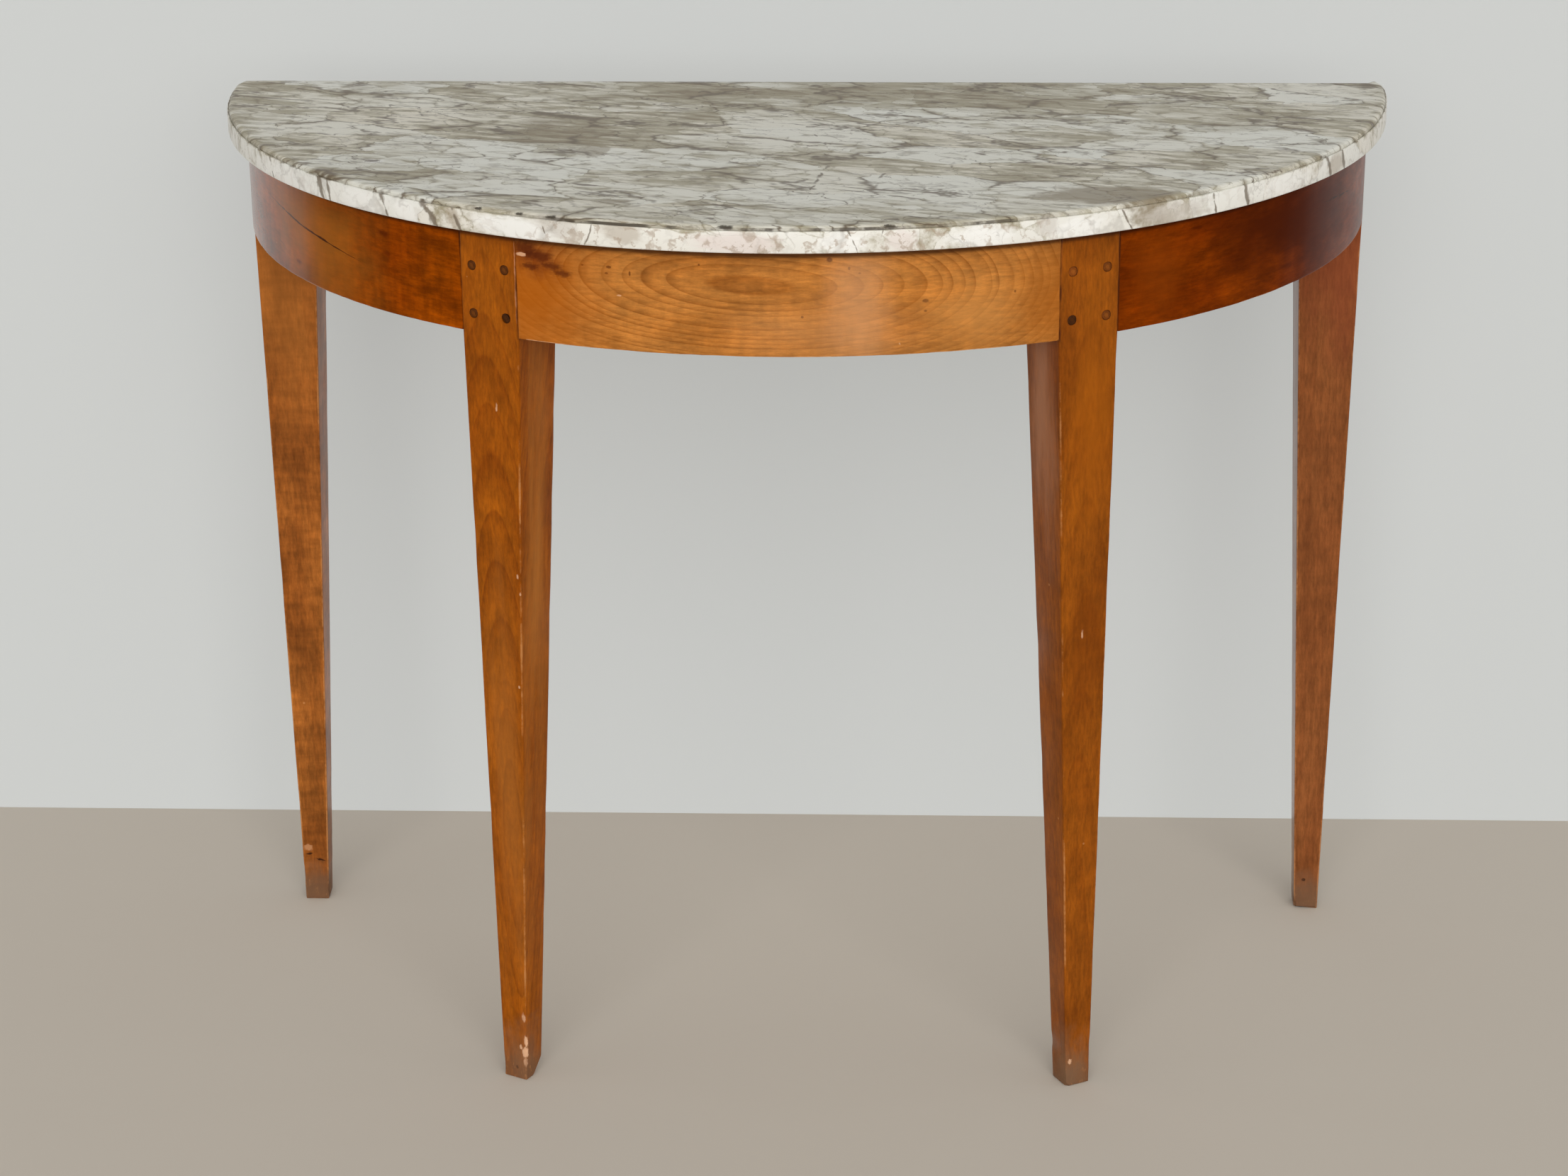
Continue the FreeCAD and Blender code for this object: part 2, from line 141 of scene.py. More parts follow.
class Graph:
    """Adds nodes to one node tree and wires them as they are added."""

    def __init__(self, tree: bpy.types.NodeTree, effects: "Effects | None" = None) -> None:
        """Keeps the tree to add to, and the shared node groups that it may use."""
        self.tree = tree
        self.effects = effects

    def add(self, kind: str, feeds: dict[str | int, Feed] | None = None, **options: object) -> bpy.types.Node:
        """Adds one node.

        Args:
            kind: Blender's name of the node type.
            feeds: What goes into the node's inputs, by name or number.
            **options: Properties to set on the node before its inputs.

        Returns:
            The new node.
        """
        node = self.tree.nodes.new(kind)
        for key, value in options.items():
            setattr(node, key, value)
        self.wire(node, feeds or {})
        return node

    def wire(self, node: bpy.types.Node, feeds: dict[str | int, Feed]) -> None:
        """Fills a node's inputs: links an output, and sets a plain value on the socket itself.

        Args:
            node: The node.
            feeds: What goes into its inputs, by name or number.
        """
        for key, value in feeds.items():
            if isinstance(value, Socket):
                self.tree.links.new(value, node.inputs[key])
            else:
                node.inputs[key].default_value = value

    def math(self, operation: str, *values: Feed, clamp: bool = False) -> Socket:
        """Works out one operation on its operands in order, kept between 0 and 1 where it is clamped."""
        feeds = dict(enumerate(values))
        return self.add("ShaderNodeMath", feeds, operation=operation, use_clamp=clamp).outputs[0]

    def times(self, *values: Feed) -> Socket:
        """Multiplies values."""
        return reduce(partial(self.math, "MULTIPLY"), values)

    def plus(self, base: Feed, value: Feed, weight: Feed) -> Socket:
        """Adds a weighted value to a base."""
        return self.math("MULTIPLY_ADD", value, weight, base)

    def centred(self, value: Feed) -> Socket:
        """Shifts a value from 0 to 1 so that it swings about 0."""
        return self.math("SUBTRACT", value, 0.5)

    def vector(self, operation: str, *values: Feed) -> Socket:
        """Works out one operation on vectors, which gives a number where it measures something."""
        node = self.add("ShaderNodeVectorMath", dict(enumerate(values)), operation=operation)
        return node.outputs["Value" if operation in {"LENGTH", "DOT_PRODUCT", "DISTANCE"} else "Vector"]

    def scaled(self, place: Feed, factor: Feed) -> Socket:
        """Multiplies a vector by one number."""
        feeds = {0: place, "Scale": factor}
        return self.add("ShaderNodeVectorMath", feeds, operation="SCALE").outputs["Vector"]

    def split(self, place: Feed) -> bpy.types.NodeOutputs:
        """The three parts of a vector."""
        return self.add("ShaderNodeSeparateXYZ", {0: place}).outputs

    def turned(
        self, place: Feed, centre: Triple = ORIGIN, turn: Triple = ORIGIN, scale: Triple = (1.0, 1.0, 1.0)
    ) -> Socket:
        """Coordinates in a frame that is moved, turned and scaled."""
        feeds = {"Vector": place, "Location": centre, "Rotation": turn, "Scale": scale}
        return self.add("ShaderNodeMapping", feeds, vector_type="TEXTURE").outputs[0]

    def attribute(self, name: str) -> Socket:
        """A value that the mesh carries."""
        return self.add("ShaderNodeAttribute", attribute_name=name).outputs["Fac"]

    def _noise(self, place: Feed, waves: Feed, detail: float, rough: float) -> bpy.types.NodeOutputs:
        """Adds a Noise texture.

        Args:
            place: Coordinates.
            waves: Waves per unit of the coordinates, one number or one for each axis.
            detail: How many finer layers are added.
            rough: Strength of the finer layers.

        Returns:
            The node's outputs: the value first, then the colour.
        """
        if isinstance(waves, tuple):
            place, waves = self.vector("MULTIPLY", place, waves), 1.0
        feeds = {"Vector": place, "Scale": waves, "Detail": detail, "Roughness": rough}
        return self.add("ShaderNodeTexNoise", feeds).outputs

    def noise(self, place: Feed, waves: Feed, detail: float = 2.0, rough: float = 0.5) -> Socket:
        """The value of a Noise texture, from 0 to 1."""
        return self._noise(place, waves, detail, rough)[0]

    def sway(self, place: Feed, waves: Feed, reach: Feed, detail: float = 2.0, rough: float = 0.5) -> Socket:
        """A shift that wanders by noise, up to half the reach each way."""
        swing = self.vector("SUBTRACT", self._noise(place, waves, detail, rough)[1], HALF)
        return self.scaled(swing, reach)

    def ease(self, value: Feed, low: Feed, high: Feed, start: Feed = 0.0, end: Feed = 1.0) -> Socket:
        """Eases a value from start at low to end at high."""
        feeds = dict(enumerate((value, low, high, start, end)))
        return self.add("ShaderNodeMapRange", feeds, interpolation_type="SMOOTHSTEP").outputs[0]

    def mix(self, share: Feed, first: Feed, second: Feed, blend: str = "MIX") -> Socket:
        """Mixes a share of the second colour into the first."""
        feeds = {0: share, 6: first, 7: second}
        return self.add("ShaderNodeMix", feeds, data_type="RGBA", blend_type=blend).outputs[2]

    def curve(self, value: Feed, stops: Sequence[tuple[float, float]]) -> Socket:
        """Shapes a value with a ramp of greys.

        Args:
            value: Value from 0 to 1.
            stops: Places along the ramp, each with its grey.

        Returns:
            The shaped value.
        """
        node = self.add("ShaderNodeValToRGB", {0: value})
        points = node.color_ramp.elements
        while len(points) < len(stops):
            points.new(1.0)
        for point, (place, grey) in zip(points, stops):
            point.position = place
            point.color = (grey, grey, grey, 1.0)
        return node.outputs[0]

    def bump(self, height: Socket, strength: float, distance: float) -> Socket:
        """A normal that follows a height."""
        feeds = {"Strength": strength, "Distance": distance, "Height": height}
        return self.add("ShaderNodeBump", feeds).outputs[0]

    def effect(self, group: bpy.types.NodeTree, feeds: dict[str | int, Feed]) -> bpy.types.NodeOutputs:
        """Places a shared node group and gives its outputs."""
        return self.add("ShaderNodeGroup", feeds, node_tree=group).outputs


class GroupGraph(Graph):
    """A node group under construction, with its own sockets."""

    def __init__(self, name: str, takes: dict[str, float | Triple], gives: Sequence[str] = ("Mask",)) -> None:
        """Makes the group and its sockets. Its first input is Vector, the coordinates.

        Args:
            name: Name of the group.
            takes: The other inputs with their defaults: three numbers for a vector, one for a value.
            gives: Names of the outputs, all of them values.
        """
        super().__init__(bpy.data.node_groups.new(name, "ShaderNodeTree"))
        for key, default in {"Vector": ORIGIN, **takes}.items():
            kind = "NodeSocketVector" if isinstance(default, tuple) else "NodeSocketFloat"
            socket = self.tree.interface.new_socket(name=key, in_out="INPUT", socket_type=kind)
            socket.default_value = default
        for key in gives:
            self.tree.interface.new_socket(name=key, in_out="OUTPUT", socket_type="NodeSocketFloat")
        self.given = self.tree.nodes.new("NodeGroupInput").outputs
        self.result = self.tree.nodes.new("NodeGroupOutput").inputs
        self.place = self.given["Vector"]

    def give(self, name: str, value: Socket) -> None:
        """Links a value to one of the group's outputs."""
        self.tree.links.new(value, self.result[name])


class Effects:
    """Node groups that the finishes share, each built once."""

    def __init__(self) -> None:
        """Builds every group."""
        self.grain = self._grain()
        self.wear = self._wear()
        self.spot = self._spot()
        self.line = self._line()
        self.unroll = self._unroll()
        self.grime = self._grime()
        self.nicks = self._nicks()
        self.veins = self._veins()
        self.threads = self._threads()

    @staticmethod
    def _grain() -> bpy.types.NodeTree:
        """Year rings round a pith line on the X axis, with the fibre, the figure and the curl of the wood.

        Returns:
            The group, which gives Rings, Fibre, Figure and Curl.
        """
        graph = GroupGraph(
            "wood_grain", {"Lengthwise": ORIGIN, "Pitch": 6 * MM, "Waver": 8 * MM},
            ("Rings", "Fibre", "Figure", "Curl"),
        )
        place, waver = graph.place, graph.given["Waver"]
        drift = graph.sway(place, (2.6, 11.0, 11.0), waver)
        ripple = graph.sway(place, (9.0, 60.0, 60.0), graph.times(waver, 0.07))
        bent = graph.vector("ADD", graph.vector("ADD", place, drift), ripple)
        radius = graph.vector("LENGTH", graph.vector("MULTIPLY", bent, (0.0, 1.0, 1.0)))
        count = graph.math("DIVIDE", radius, graph.given["Pitch"])
        uneven = graph.add(
            "ShaderNodeTexNoise", {"W": graph.times(count, 0.4), "Scale": 1.0, "Detail": 1.0},
            noise_dimensions="1D",
        ).outputs[0]
        turn = graph.plus(count, uneven, 1.8)
        late = graph.curve(
            graph.math("FRACT", turn), ((0.0, 0.0), (0.4, 0.12), (0.8, 0.6), (0.93, 1.0), (1.0, 0.0))
        )
        year = graph.add(
            "ShaderNodeTexWhiteNoise", {"W": graph.math("FLOOR", turn)}, noise_dimensions="1D"
        ).outputs[0]
        fade = graph.ease(graph.noise(place, 9.0), 0.35, 0.65, 0.75, 1.0)
        graph.give("Rings", graph.times(late, graph.plus(0.5, year, 0.4), fade))
        layers = {
            "Fibre": ((75.0, 420.0, 420.0), 4.0, 0.75),
            "Figure": ((17.0, 48.0, 48.0), 6.0, 0.65),
            "Curl": ((95.0, 26.0, 26.0), 5.0, 0.6),
        }
        for name, (waves, detail, rough) in layers.items():
            graph.give(name, graph.noise(graph.given["Lengthwise"], waves, detail, rough))
        return graph.tree

    @staticmethod
    def _wear() -> bpy.types.NodeTree:
        """Rubbed places along the arrises, broken up along their length.

        Returns:
            The group, which gives Mask.
        """
        graph = GroupGraph("edge_wear", {"Arris": 0.0, "Amount": 0.5})
        arris = graph.given["Arris"]
        nicks = graph.noise(graph.place, 130.0, 4.0, 0.7)
        reach = graph.noise(graph.place, 14.0)
        worn = graph.plus(graph.plus(arris, graph.centred(nicks), 1.1), graph.centred(reach), 1.6)
        worn = graph.math("ADD", worn, graph.centred(graph.given["Amount"]))
        graph.give("Mask", graph.times(graph.ease(worn, 0.72, 1.15), graph.ease(arris, 0.25, 0.8)))
        return graph.tree

    @staticmethod
    def _spot() -> bpy.types.NodeTree:
        """One ragged spot.

        Returns:
            The group, which gives Mask.
        """
        graph = GroupGraph(
            "ragged_spot", {"Centre": ORIGIN, "Radii": (1.0, 1.0, 1.0), "Ragged": 0.3, "Soft": 0.3}
        )
        away = graph.vector("SUBTRACT", graph.place, graph.given["Centre"])
        away = graph.vector("DIVIDE", away, graph.given["Radii"])
        rough = graph.centred(graph.noise(away, 1.7, 4.0, 0.65))
        reach = graph.plus(graph.vector("LENGTH", away), rough, graph.given["Ragged"])
        inner = graph.math("SUBTRACT", 1.0, graph.given["Soft"])
        graph.give("Mask", graph.ease(reach, inner, 1.0, 1.0, 0.0))
        return graph.tree

    @staticmethod
    def _line() -> bpy.types.NodeTree:
        """One wavering line, such as a crack or a long vein.

        Returns:
            The group, which gives Mask.
        """
        graph = GroupGraph(
            "wavering_line",
            {"Start": ORIGIN, "End": (1.0, 0.0, 0.0), "Width": MM, "Waver": 3 * MM, "Scale": 30.0},
        )
        start, end, scale = (graph.given[key] for key in ("Start", "End", "Scale"))
        sway = graph.sway(graph.place, scale, graph.given["Waver"], 4.0, 0.6)
        place = graph.vector("ADD", graph.place, sway)
        run = graph.vector("SUBTRACT", end, start)
        along = graph.vector("DOT_PRODUCT", graph.vector("SUBTRACT", place, start), run)
        share = graph.math("DIVIDE", along, graph.vector("DOT_PRODUCT", run, run), clamp=True)
        nearest = graph.vector("ADD", start, graph.scaled(run, share))
        thin = graph.ease(graph.math("ABSOLUTE", graph.centred(share)), 0.2, 0.5, 1.0, 0.15)
        swell = graph.ease(graph.noise(place, graph.times(scale, 3.0)), 0.3, 0.7, 0.45, 1.5)
        width = graph.times(graph.given["Width"], thin, swell)
        away = graph.math("DIVIDE", graph.vector("DISTANCE", place, nearest), width)
        graph.give("Mask", graph.ease(away, 0.3, 1.0, 1.0, 0.0))
        return graph.tree

    @staticmethod
    def _unroll() -> bpy.types.NodeTree:
        """Distance along a curved apron, distance from the curve's centre and height.

        Returns:
            The group, which gives Arc, Radius and Height.
        """
        graph = GroupGraph("unroll", {"Back": 0.0, "Bend": 0.5}, ("Arc", "Radius", "Height"))
        across, deep, height = graph.split(graph.place)
        depth = graph.math("SUBTRACT", graph.given["Back"], deep)
        graph.give("Arc", graph.times(graph.math("ARCTAN2", across, depth), graph.given["Bend"]))
        square = graph.math("ADD", graph.times(depth, depth), graph.times(across, across))
        graph.give("Radius", graph.math("SQRT", square))
        graph.give("Height", height)
        return graph.tree

    @staticmethod
    def _grime() -> bpy.types.NodeTree:
        """Dirt and scuffs that climb from the floor.

        Returns:
            The group, which gives Dirt and Scuff.
        """
        graph = GroupGraph("floor_grime", {"Climb": 60 * MM}, ("Dirt", "Scuff"))
        place, climb = graph.place, graph.given["Climb"]
        patch = graph.centred(graph.noise(place, 55.0, 4.0, 0.65))
        level = graph.plus(graph.split(place)[2], patch, graph.times(climb, 1.6))
        dirt = graph.ease(level, 0.0, climb, 1.0, 0.0)
        graph.give("Dirt", dirt)
        scrape = graph.noise(place, (260.0, 260.0, 110.0), 4.0, 0.7)
        graph.give("Scuff", graph.times(dirt, graph.ease(scrape, 0.56, 0.72)))
        return graph.tree

    @staticmethod
    def _nicks() -> bpy.types.NodeTree:
        """Small scattered nicks.

        Returns:
            The group, which gives Mask.
        """
        graph = GroupGraph("scattered_nicks", {"Spacing": 10 * MM, "Share": 0.05})
        density = graph.math("DIVIDE", 1.0, graph.given["Spacing"])
        dots = graph.add("ShaderNodeTexVoronoi", {"Vector": graph.place, "Scale": density}).outputs
        chance, size, _ = graph.add("ShaderNodeSeparateColor", {0: dots["Color"]}).outputs
        picked = graph.math("GREATER_THAN", graph.math("ADD", chance, graph.given["Share"]), 1.0)
        away = graph.math("DIVIDE", dots["Distance"], graph.plus(0.04, size, 0.11))
        graph.give("Mask", graph.times(graph.ease(away, 0.5, 1.0, 1.0, 0.0), picked))
        return graph.tree

    @staticmethod
    def _threads() -> bpy.types.NodeTree:
        """Thin winding veins that come and go.

        Returns:
            The group, which gives Mask.
        """
        graph = GroupGraph("winding_threads", {"Scale": 10.0, "Width": MM})
        place, scale = graph.place, graph.given["Scale"]
        ridge = graph.math("ABSOLUTE", graph.centred(graph.noise(place, scale, 5.0, 0.55)))
        swell = graph.ease(graph.noise(place, graph.times(scale, 1.7), 3.0), 0.44, 0.72, 0.03, 1.8)
        width = graph.times(graph.given["Width"], scale, 1.5, swell)
        graph.give("Mask", graph.ease(ridge, 0.0, width, 1.0, 0.0))
        return graph.tree

    @staticmethod
    def _veins() -> bpy.types.NodeTree:
        """A net of veins between angular lumps of stone.

        Returns:
            The group, which gives Vein, the Halo round it and Lump, a value that differs from lump to lump.
        """
        graph = GroupGraph(
            "vein_net", {"Cell": 80 * MM, "Warp": 25 * MM, "Width": 3 * MM}, ("Vein", "Halo", "Lump")
        )
        place, cell = graph.place, graph.given["Cell"]
        density = graph.math("DIVIDE", 1.0, cell)
        sway = graph.sway(place, graph.times(density, 0.8), graph.given["Warp"], 5.0, 0.6)
        lump = {"Vector": graph.vector("ADD", place, sway), "Scale": density, "Randomness": 0.95}
        edge = graph.add("ShaderNodeTexVoronoi", lump, feature="DISTANCE_TO_EDGE").outputs["Distance"]
        away = graph.times(edge, cell)
        swell = graph.ease(graph.noise(place, graph.times(density, 1.3), 3.0), 0.44, 0.76, 0.05, 2.6)
        width = graph.times(graph.given["Width"], swell)
        graph.give("Vein", graph.ease(away, 0.0, width, 1.0, 0.0))
        graph.give("Halo", graph.ease(away, 0.0, graph.times(width, 4.0), 1.0, 0.0))
        colour = graph.add("ShaderNodeTexVoronoi", lump, feature="F1").outputs["Color"]
        graph.give("Lump", graph.add("ShaderNodeSeparateColor", {0: colour}).outputs[0])
        return graph.tree


@dataclass(frozen=True)
class Spot:
    """A ragged mark in the finish: a knot, a dent, a stain or a patch in the stone."""

    centre: Triple
    radii: Triple
    colour: Colour
    strength: float = 0.8
    ragged: float = 0.5
    soft: float = 0.4

    def mask(self, graph: Graph, place: Socket) -> Socket:
        """The mark's share of the colour at a place."""
        feeds = {"Centre": self.centre, "Radii": self.radii, "Ragged": self.ragged, "Soft": self.soft}
        return graph.times(graph.effect(graph.effects.spot, {"Vector": place, **feeds})[0], self.strength)


@dataclass(frozen=True)
class Line:
    """A wavering line in the finish: a crack or a long vein."""

    start: Triple
    end: Triple
    width: float
    colour: Colour
    waver: float = 3 * MM
    scale: float = 30.0
    strength: float = 0.9

    def mask(self, graph: Graph, place: Socket) -> Socket:
        """The line's share of the colour at a place."""
        run = {"Start": self.start, "End": self.end, "Width": self.width}
        feeds = {"Vector": place, **run, "Waver": self.waver, "Scale": self.scale}
        return graph.times(graph.effect(graph.effects.line, feeds)[0], self.strength)


@dataclass(frozen=True)
class Band:
    """A level band of painted shade that deepens towards its upper edge."""

    low: float
    high: float
    colour: Colour
    strength: float

    def mask(self, graph: Graph, place: Socket) -> Socket:
        """The band's share of the colour at a place."""
        return graph.ease(graph.split(place)[2], self.low, self.high, 0.0, self.strength)


@dataclass(frozen=True)
class Cloud:
    """A region where stone is clouded more than elsewhere, or less where the push is below zero."""

    centre: Triple
    radii: Triple
    push: float
    ragged: float = 1.5
    soft: float = 0.7

    def shift(self, graph: Graph, place: Socket) -> Socket:
        """How far the region shifts the clouding at a place."""
        feeds = {"Centre": self.centre, "Radii": self.radii, "Ragged": self.ragged, "Soft": self.soft}
        return graph.times(graph.effect(graph.effects.spot, {"Vector": place, **feeds})[0], self.push)


Mark = Spot | Line | Band


def paint(graph: Graph, place: Socket, colour: Socket, marks: Sequence[Mark]) -> Socket:
    """Mixes marks over a colour, in order.

    Args:
        graph: Tree to add to.
        place: Coordinates that the marks are placed in.
        colour: Colour beneath them.
        marks: The marks.

    Returns:
        The marked colour.
    """
    for mark in marks:
        colour = graph.mix(mark.mask(graph, place), colour, mark.colour)
    return colour


def new_material(
    name: str, effects: Effects | None = None
) -> tuple[bpy.types.Material, Graph, bpy.types.Node, Socket]:
    """Starts a material.

    Args:
        name: Its name.
        effects: The shared node groups, where it uses them.

    Returns:
        The material, its tree, its Principled shader and the object coordinates.
    """
    material = bpy.data.materials.new(name)
    material.use_nodes = True
    graph = Graph(material.node_tree, effects)
    shader = material.node_tree.nodes["Principled BSDF"]
    return material, graph, shader, graph.add("ShaderNodeTexCoord").outputs["Object"]


@dataclass(frozen=True)
class Grain:
    """How a piece was cut from the log: its pith line, and the turn of that line away from X."""

    pith: Triple
    turn: Triple
    pitch: float = 6 * MM
    waver: float = 8 * MM


@dataclass(frozen=True)
class WoodFinish:
    """A waxed or bare wood: its colours, the strength of its figure, its wear and its gloss."""

    pale: Colour
    late: Colour
    stain: Colour
    bare: Colour
    joint: Colour = tone(80, 36, 12)
    dirt: Colour = tone(112, 84, 62)
    rings: float = 0.45
    fibre: float = 0.24
    figure: float = 0.17
    curl: float = 0.06
    blotch: float = 0.5
    wear: float = 0.4
    worn_show: float = 0.6
    nicks: float = 0.03
    nick_spacing: float = 11 * MM
    nick_show: float = 0.55
    climb: float = 34 * MM
    dirt_show: float = 0.55
    scuff_show: float = 0.4
    gloss: float = 0.34
    specular: float = 0.08
    polish: float = 1.0
    polish_gloss: float = 0.13
    relief: float = 0.25 * MM

    def _timber(
        self, graph: Graph, grain: Grain, cut: Socket, along: Socket
    ) -> tuple[Socket, Socket, Socket]:
        """Makes the sound wood: its rings, clouds of stain, fibre, figure and curl.

        Args:
            graph: Tree to add to.
            grain: How the piece was cut.
            cut: Coordinates about the pith line.
            along: Coordinates along the fibre.

        Returns:
            The colour, the clouds of stain and the height of the grain.
        """
        feeds = {"Vector": cut, "Lengthwise": along, "Pitch": grain.pitch, "Waver": grain.waver}
        rings, fibre, figure, curl = graph.effect(graph.effects.grain, feeds)
        cloud = graph.noise(along, (7.0, 17.0, 17.0), 5.0, 0.6)
        cloud = graph.times(graph.ease(cloud, 0.36, 0.68), self.blotch)
        colour = graph.mix(graph.times(rings, self.rings), self.pale, self.late)
        colour = graph.mix(cloud, colour, self.stain)
        shade = graph.ease(fibre, 0.25, 0.75, 1.0 - self.fibre, 1.0 + self.fibre)
        for value, depth in ((figure, self.figure), (curl, self.curl)):
            shade = graph.times(shade, graph.ease(value, 0.3, 0.7, 1.0 - depth, 1.0 + depth))
        grey = graph.add("ShaderNodeCombineColor", {0: shade, 1: shade, 2: shade}).outputs[0]
        height = graph.plus(graph.times(fibre, 0.5), rings, -0.2)
        return graph.mix(1.0, colour, grey, "MULTIPLY"), cloud, height

    def material(
        self, name: str, effects: Effects, grain: Grain, marks: Sequence[Mark] = (),
        bend: "Bend | None" = None,
    ) -> bpy.types.Material:
        """Makes the wood of one piece, with its marks, wear and dirt.

        Args:
            name: Name of the material.
            effects: The shared node groups.
            grain: How the piece was cut.
            marks: Marks on the piece.
            bend: The curve that fibre and marks follow, or None where the piece is straight.

        Returns:
            The material.
        """
        material, graph, shader, place = new_material(name, effects)
        cut = graph.turned(place, grain.pith, grain.turn)
        along = cut if bend is None else bend.unrolled(graph, place)
        colour, cloud, height = self._timber(graph, grain, cut, along)
        scatter = {"Vector": place, "Spacing": self.nick_spacing, "Share": self.nicks}
        nicks = graph.effect(effects.nicks, scatter)[0]
        colour = graph.mix(graph.times(nicks, self.nick_show), colour, self.bare)
        colour = paint(graph, place if bend is None else along, colour, marks)
        arris = graph.attribute("arris")
        worn = graph.effect(effects.wear, {"Vector": place, "Arris": arris, "Amount": self.wear})[0]
        colour = graph.mix(graph.times(worn, self.worn_show), colour, self.bare)
        uneven = graph.ease(graph.noise(place, 60.0, 4.0), 0.35, 0.65, 0.15, 0.85)
        colour = graph.mix(graph.times(graph.ease(arris, -0.75, -0.98), uneven), colour, self.joint)
        dirt, scuff = graph.effect(effects.grime, {"Vector": place, "Climb": self.climb})
        colour = graph.mix(graph.times(dirt, self.dirt_show), colour, self.dirt)
        colour = graph.mix(graph.times(scuff, self.scuff_show), colour, self.bare)
        rough = graph.ease(cloud, 0.0, 0.5, self.gloss, self.gloss + 0.08)
        graph.wire(shader, {
            "Base Color": colour,
            "Roughness": graph.plus(graph.plus(rough, worn, 0.2), dirt, 0.3),
            "Specular IOR Level": self.specular,
            "Normal": graph.bump(graph.plus(height, nicks, -1.0), 0.25, self.relief),
        })
        if self.polish > 0.0:
            facing = graph.add("ShaderNodeLayerWeight", {"Blend": 0.5}).outputs["Facing"]
            coat = graph.ease(facing, 0.5, 0.7, 0.0, self.polish)
            graph.wire(shader, {"Coat Weight": coat, "Coat Roughness": self.polish_gloss})
        return material


HONEY = WoodFinish(
    tone(187, 121, 55), tone(130, 70, 18), tone(173, 99, 28), tone(230, 184, 140),
    rings=0.95, figure=0.2, curl=0.1, blotch=0.45, wear=0.3,
)
SAWN = WoodFinish(
    tone(146, 108, 68), tone(108, 74, 42), tone(96, 66, 40), tone(176, 138, 98),
    rings=0.5, blotch=0.6, wear=0.2, gloss=0.7, polish=0.0,
)
SIDE_WOODS = {
    Hand.LEFT: WoodFinish(
        tone(147, 67, 2), tone(112, 44, 0), tone(108, 40, 0), tone(196, 136, 90), rings=0.3, figure=0.34,
        curl=0.2, blotch=0.7, wear=0.3, gloss=0.28, specular=0.015, polish=0.8,
    ),
    Hand.RIGHT: WoodFinish(
        tone(131, 55, 2), tone(98, 35, 0), tone(94, 31, 0), tone(186, 124, 80), rings=0.4, figure=0.3,
        blotch=0.7, wear=0.3, gloss=0.28, specular=0.015, polish=0.28,
    ),
}
FRONT_WOODS = {
    Hand.LEFT: WoodFinish(
        tone(160, 85, 11), tone(114, 50, 2), tone(128, 58, 1), tone(206, 142, 84),
        rings=0.7, blotch=0.45, wear=0.3, polish=0.4,
    ),
    Hand.RIGHT: WoodFinish(
        tone(147, 78, 13), tone(108, 47, 2), tone(116, 52, 2), tone(200, 136, 80),
        rings=0.45, blotch=0.45, wear=0.3, polish=0.4,
    ),
}
REAR_WOODS = {
    Hand.LEFT: WoodFinish(
        tone(161, 94, 37), tone(120, 59, 15), tone(120, 59, 14), tone(206, 142, 84),
        rings=0.3, figure=0.3, curl=0.19, blotch=0.5, polish=0.25,
    ),
    Hand.RIGHT: WoodFinish(
        tone(143, 84, 43), tone(108, 56, 25), tone(110, 56, 23), tone(196, 134, 84),
        rings=0.4, blotch=0.45, polish=0.5,
    ),
}


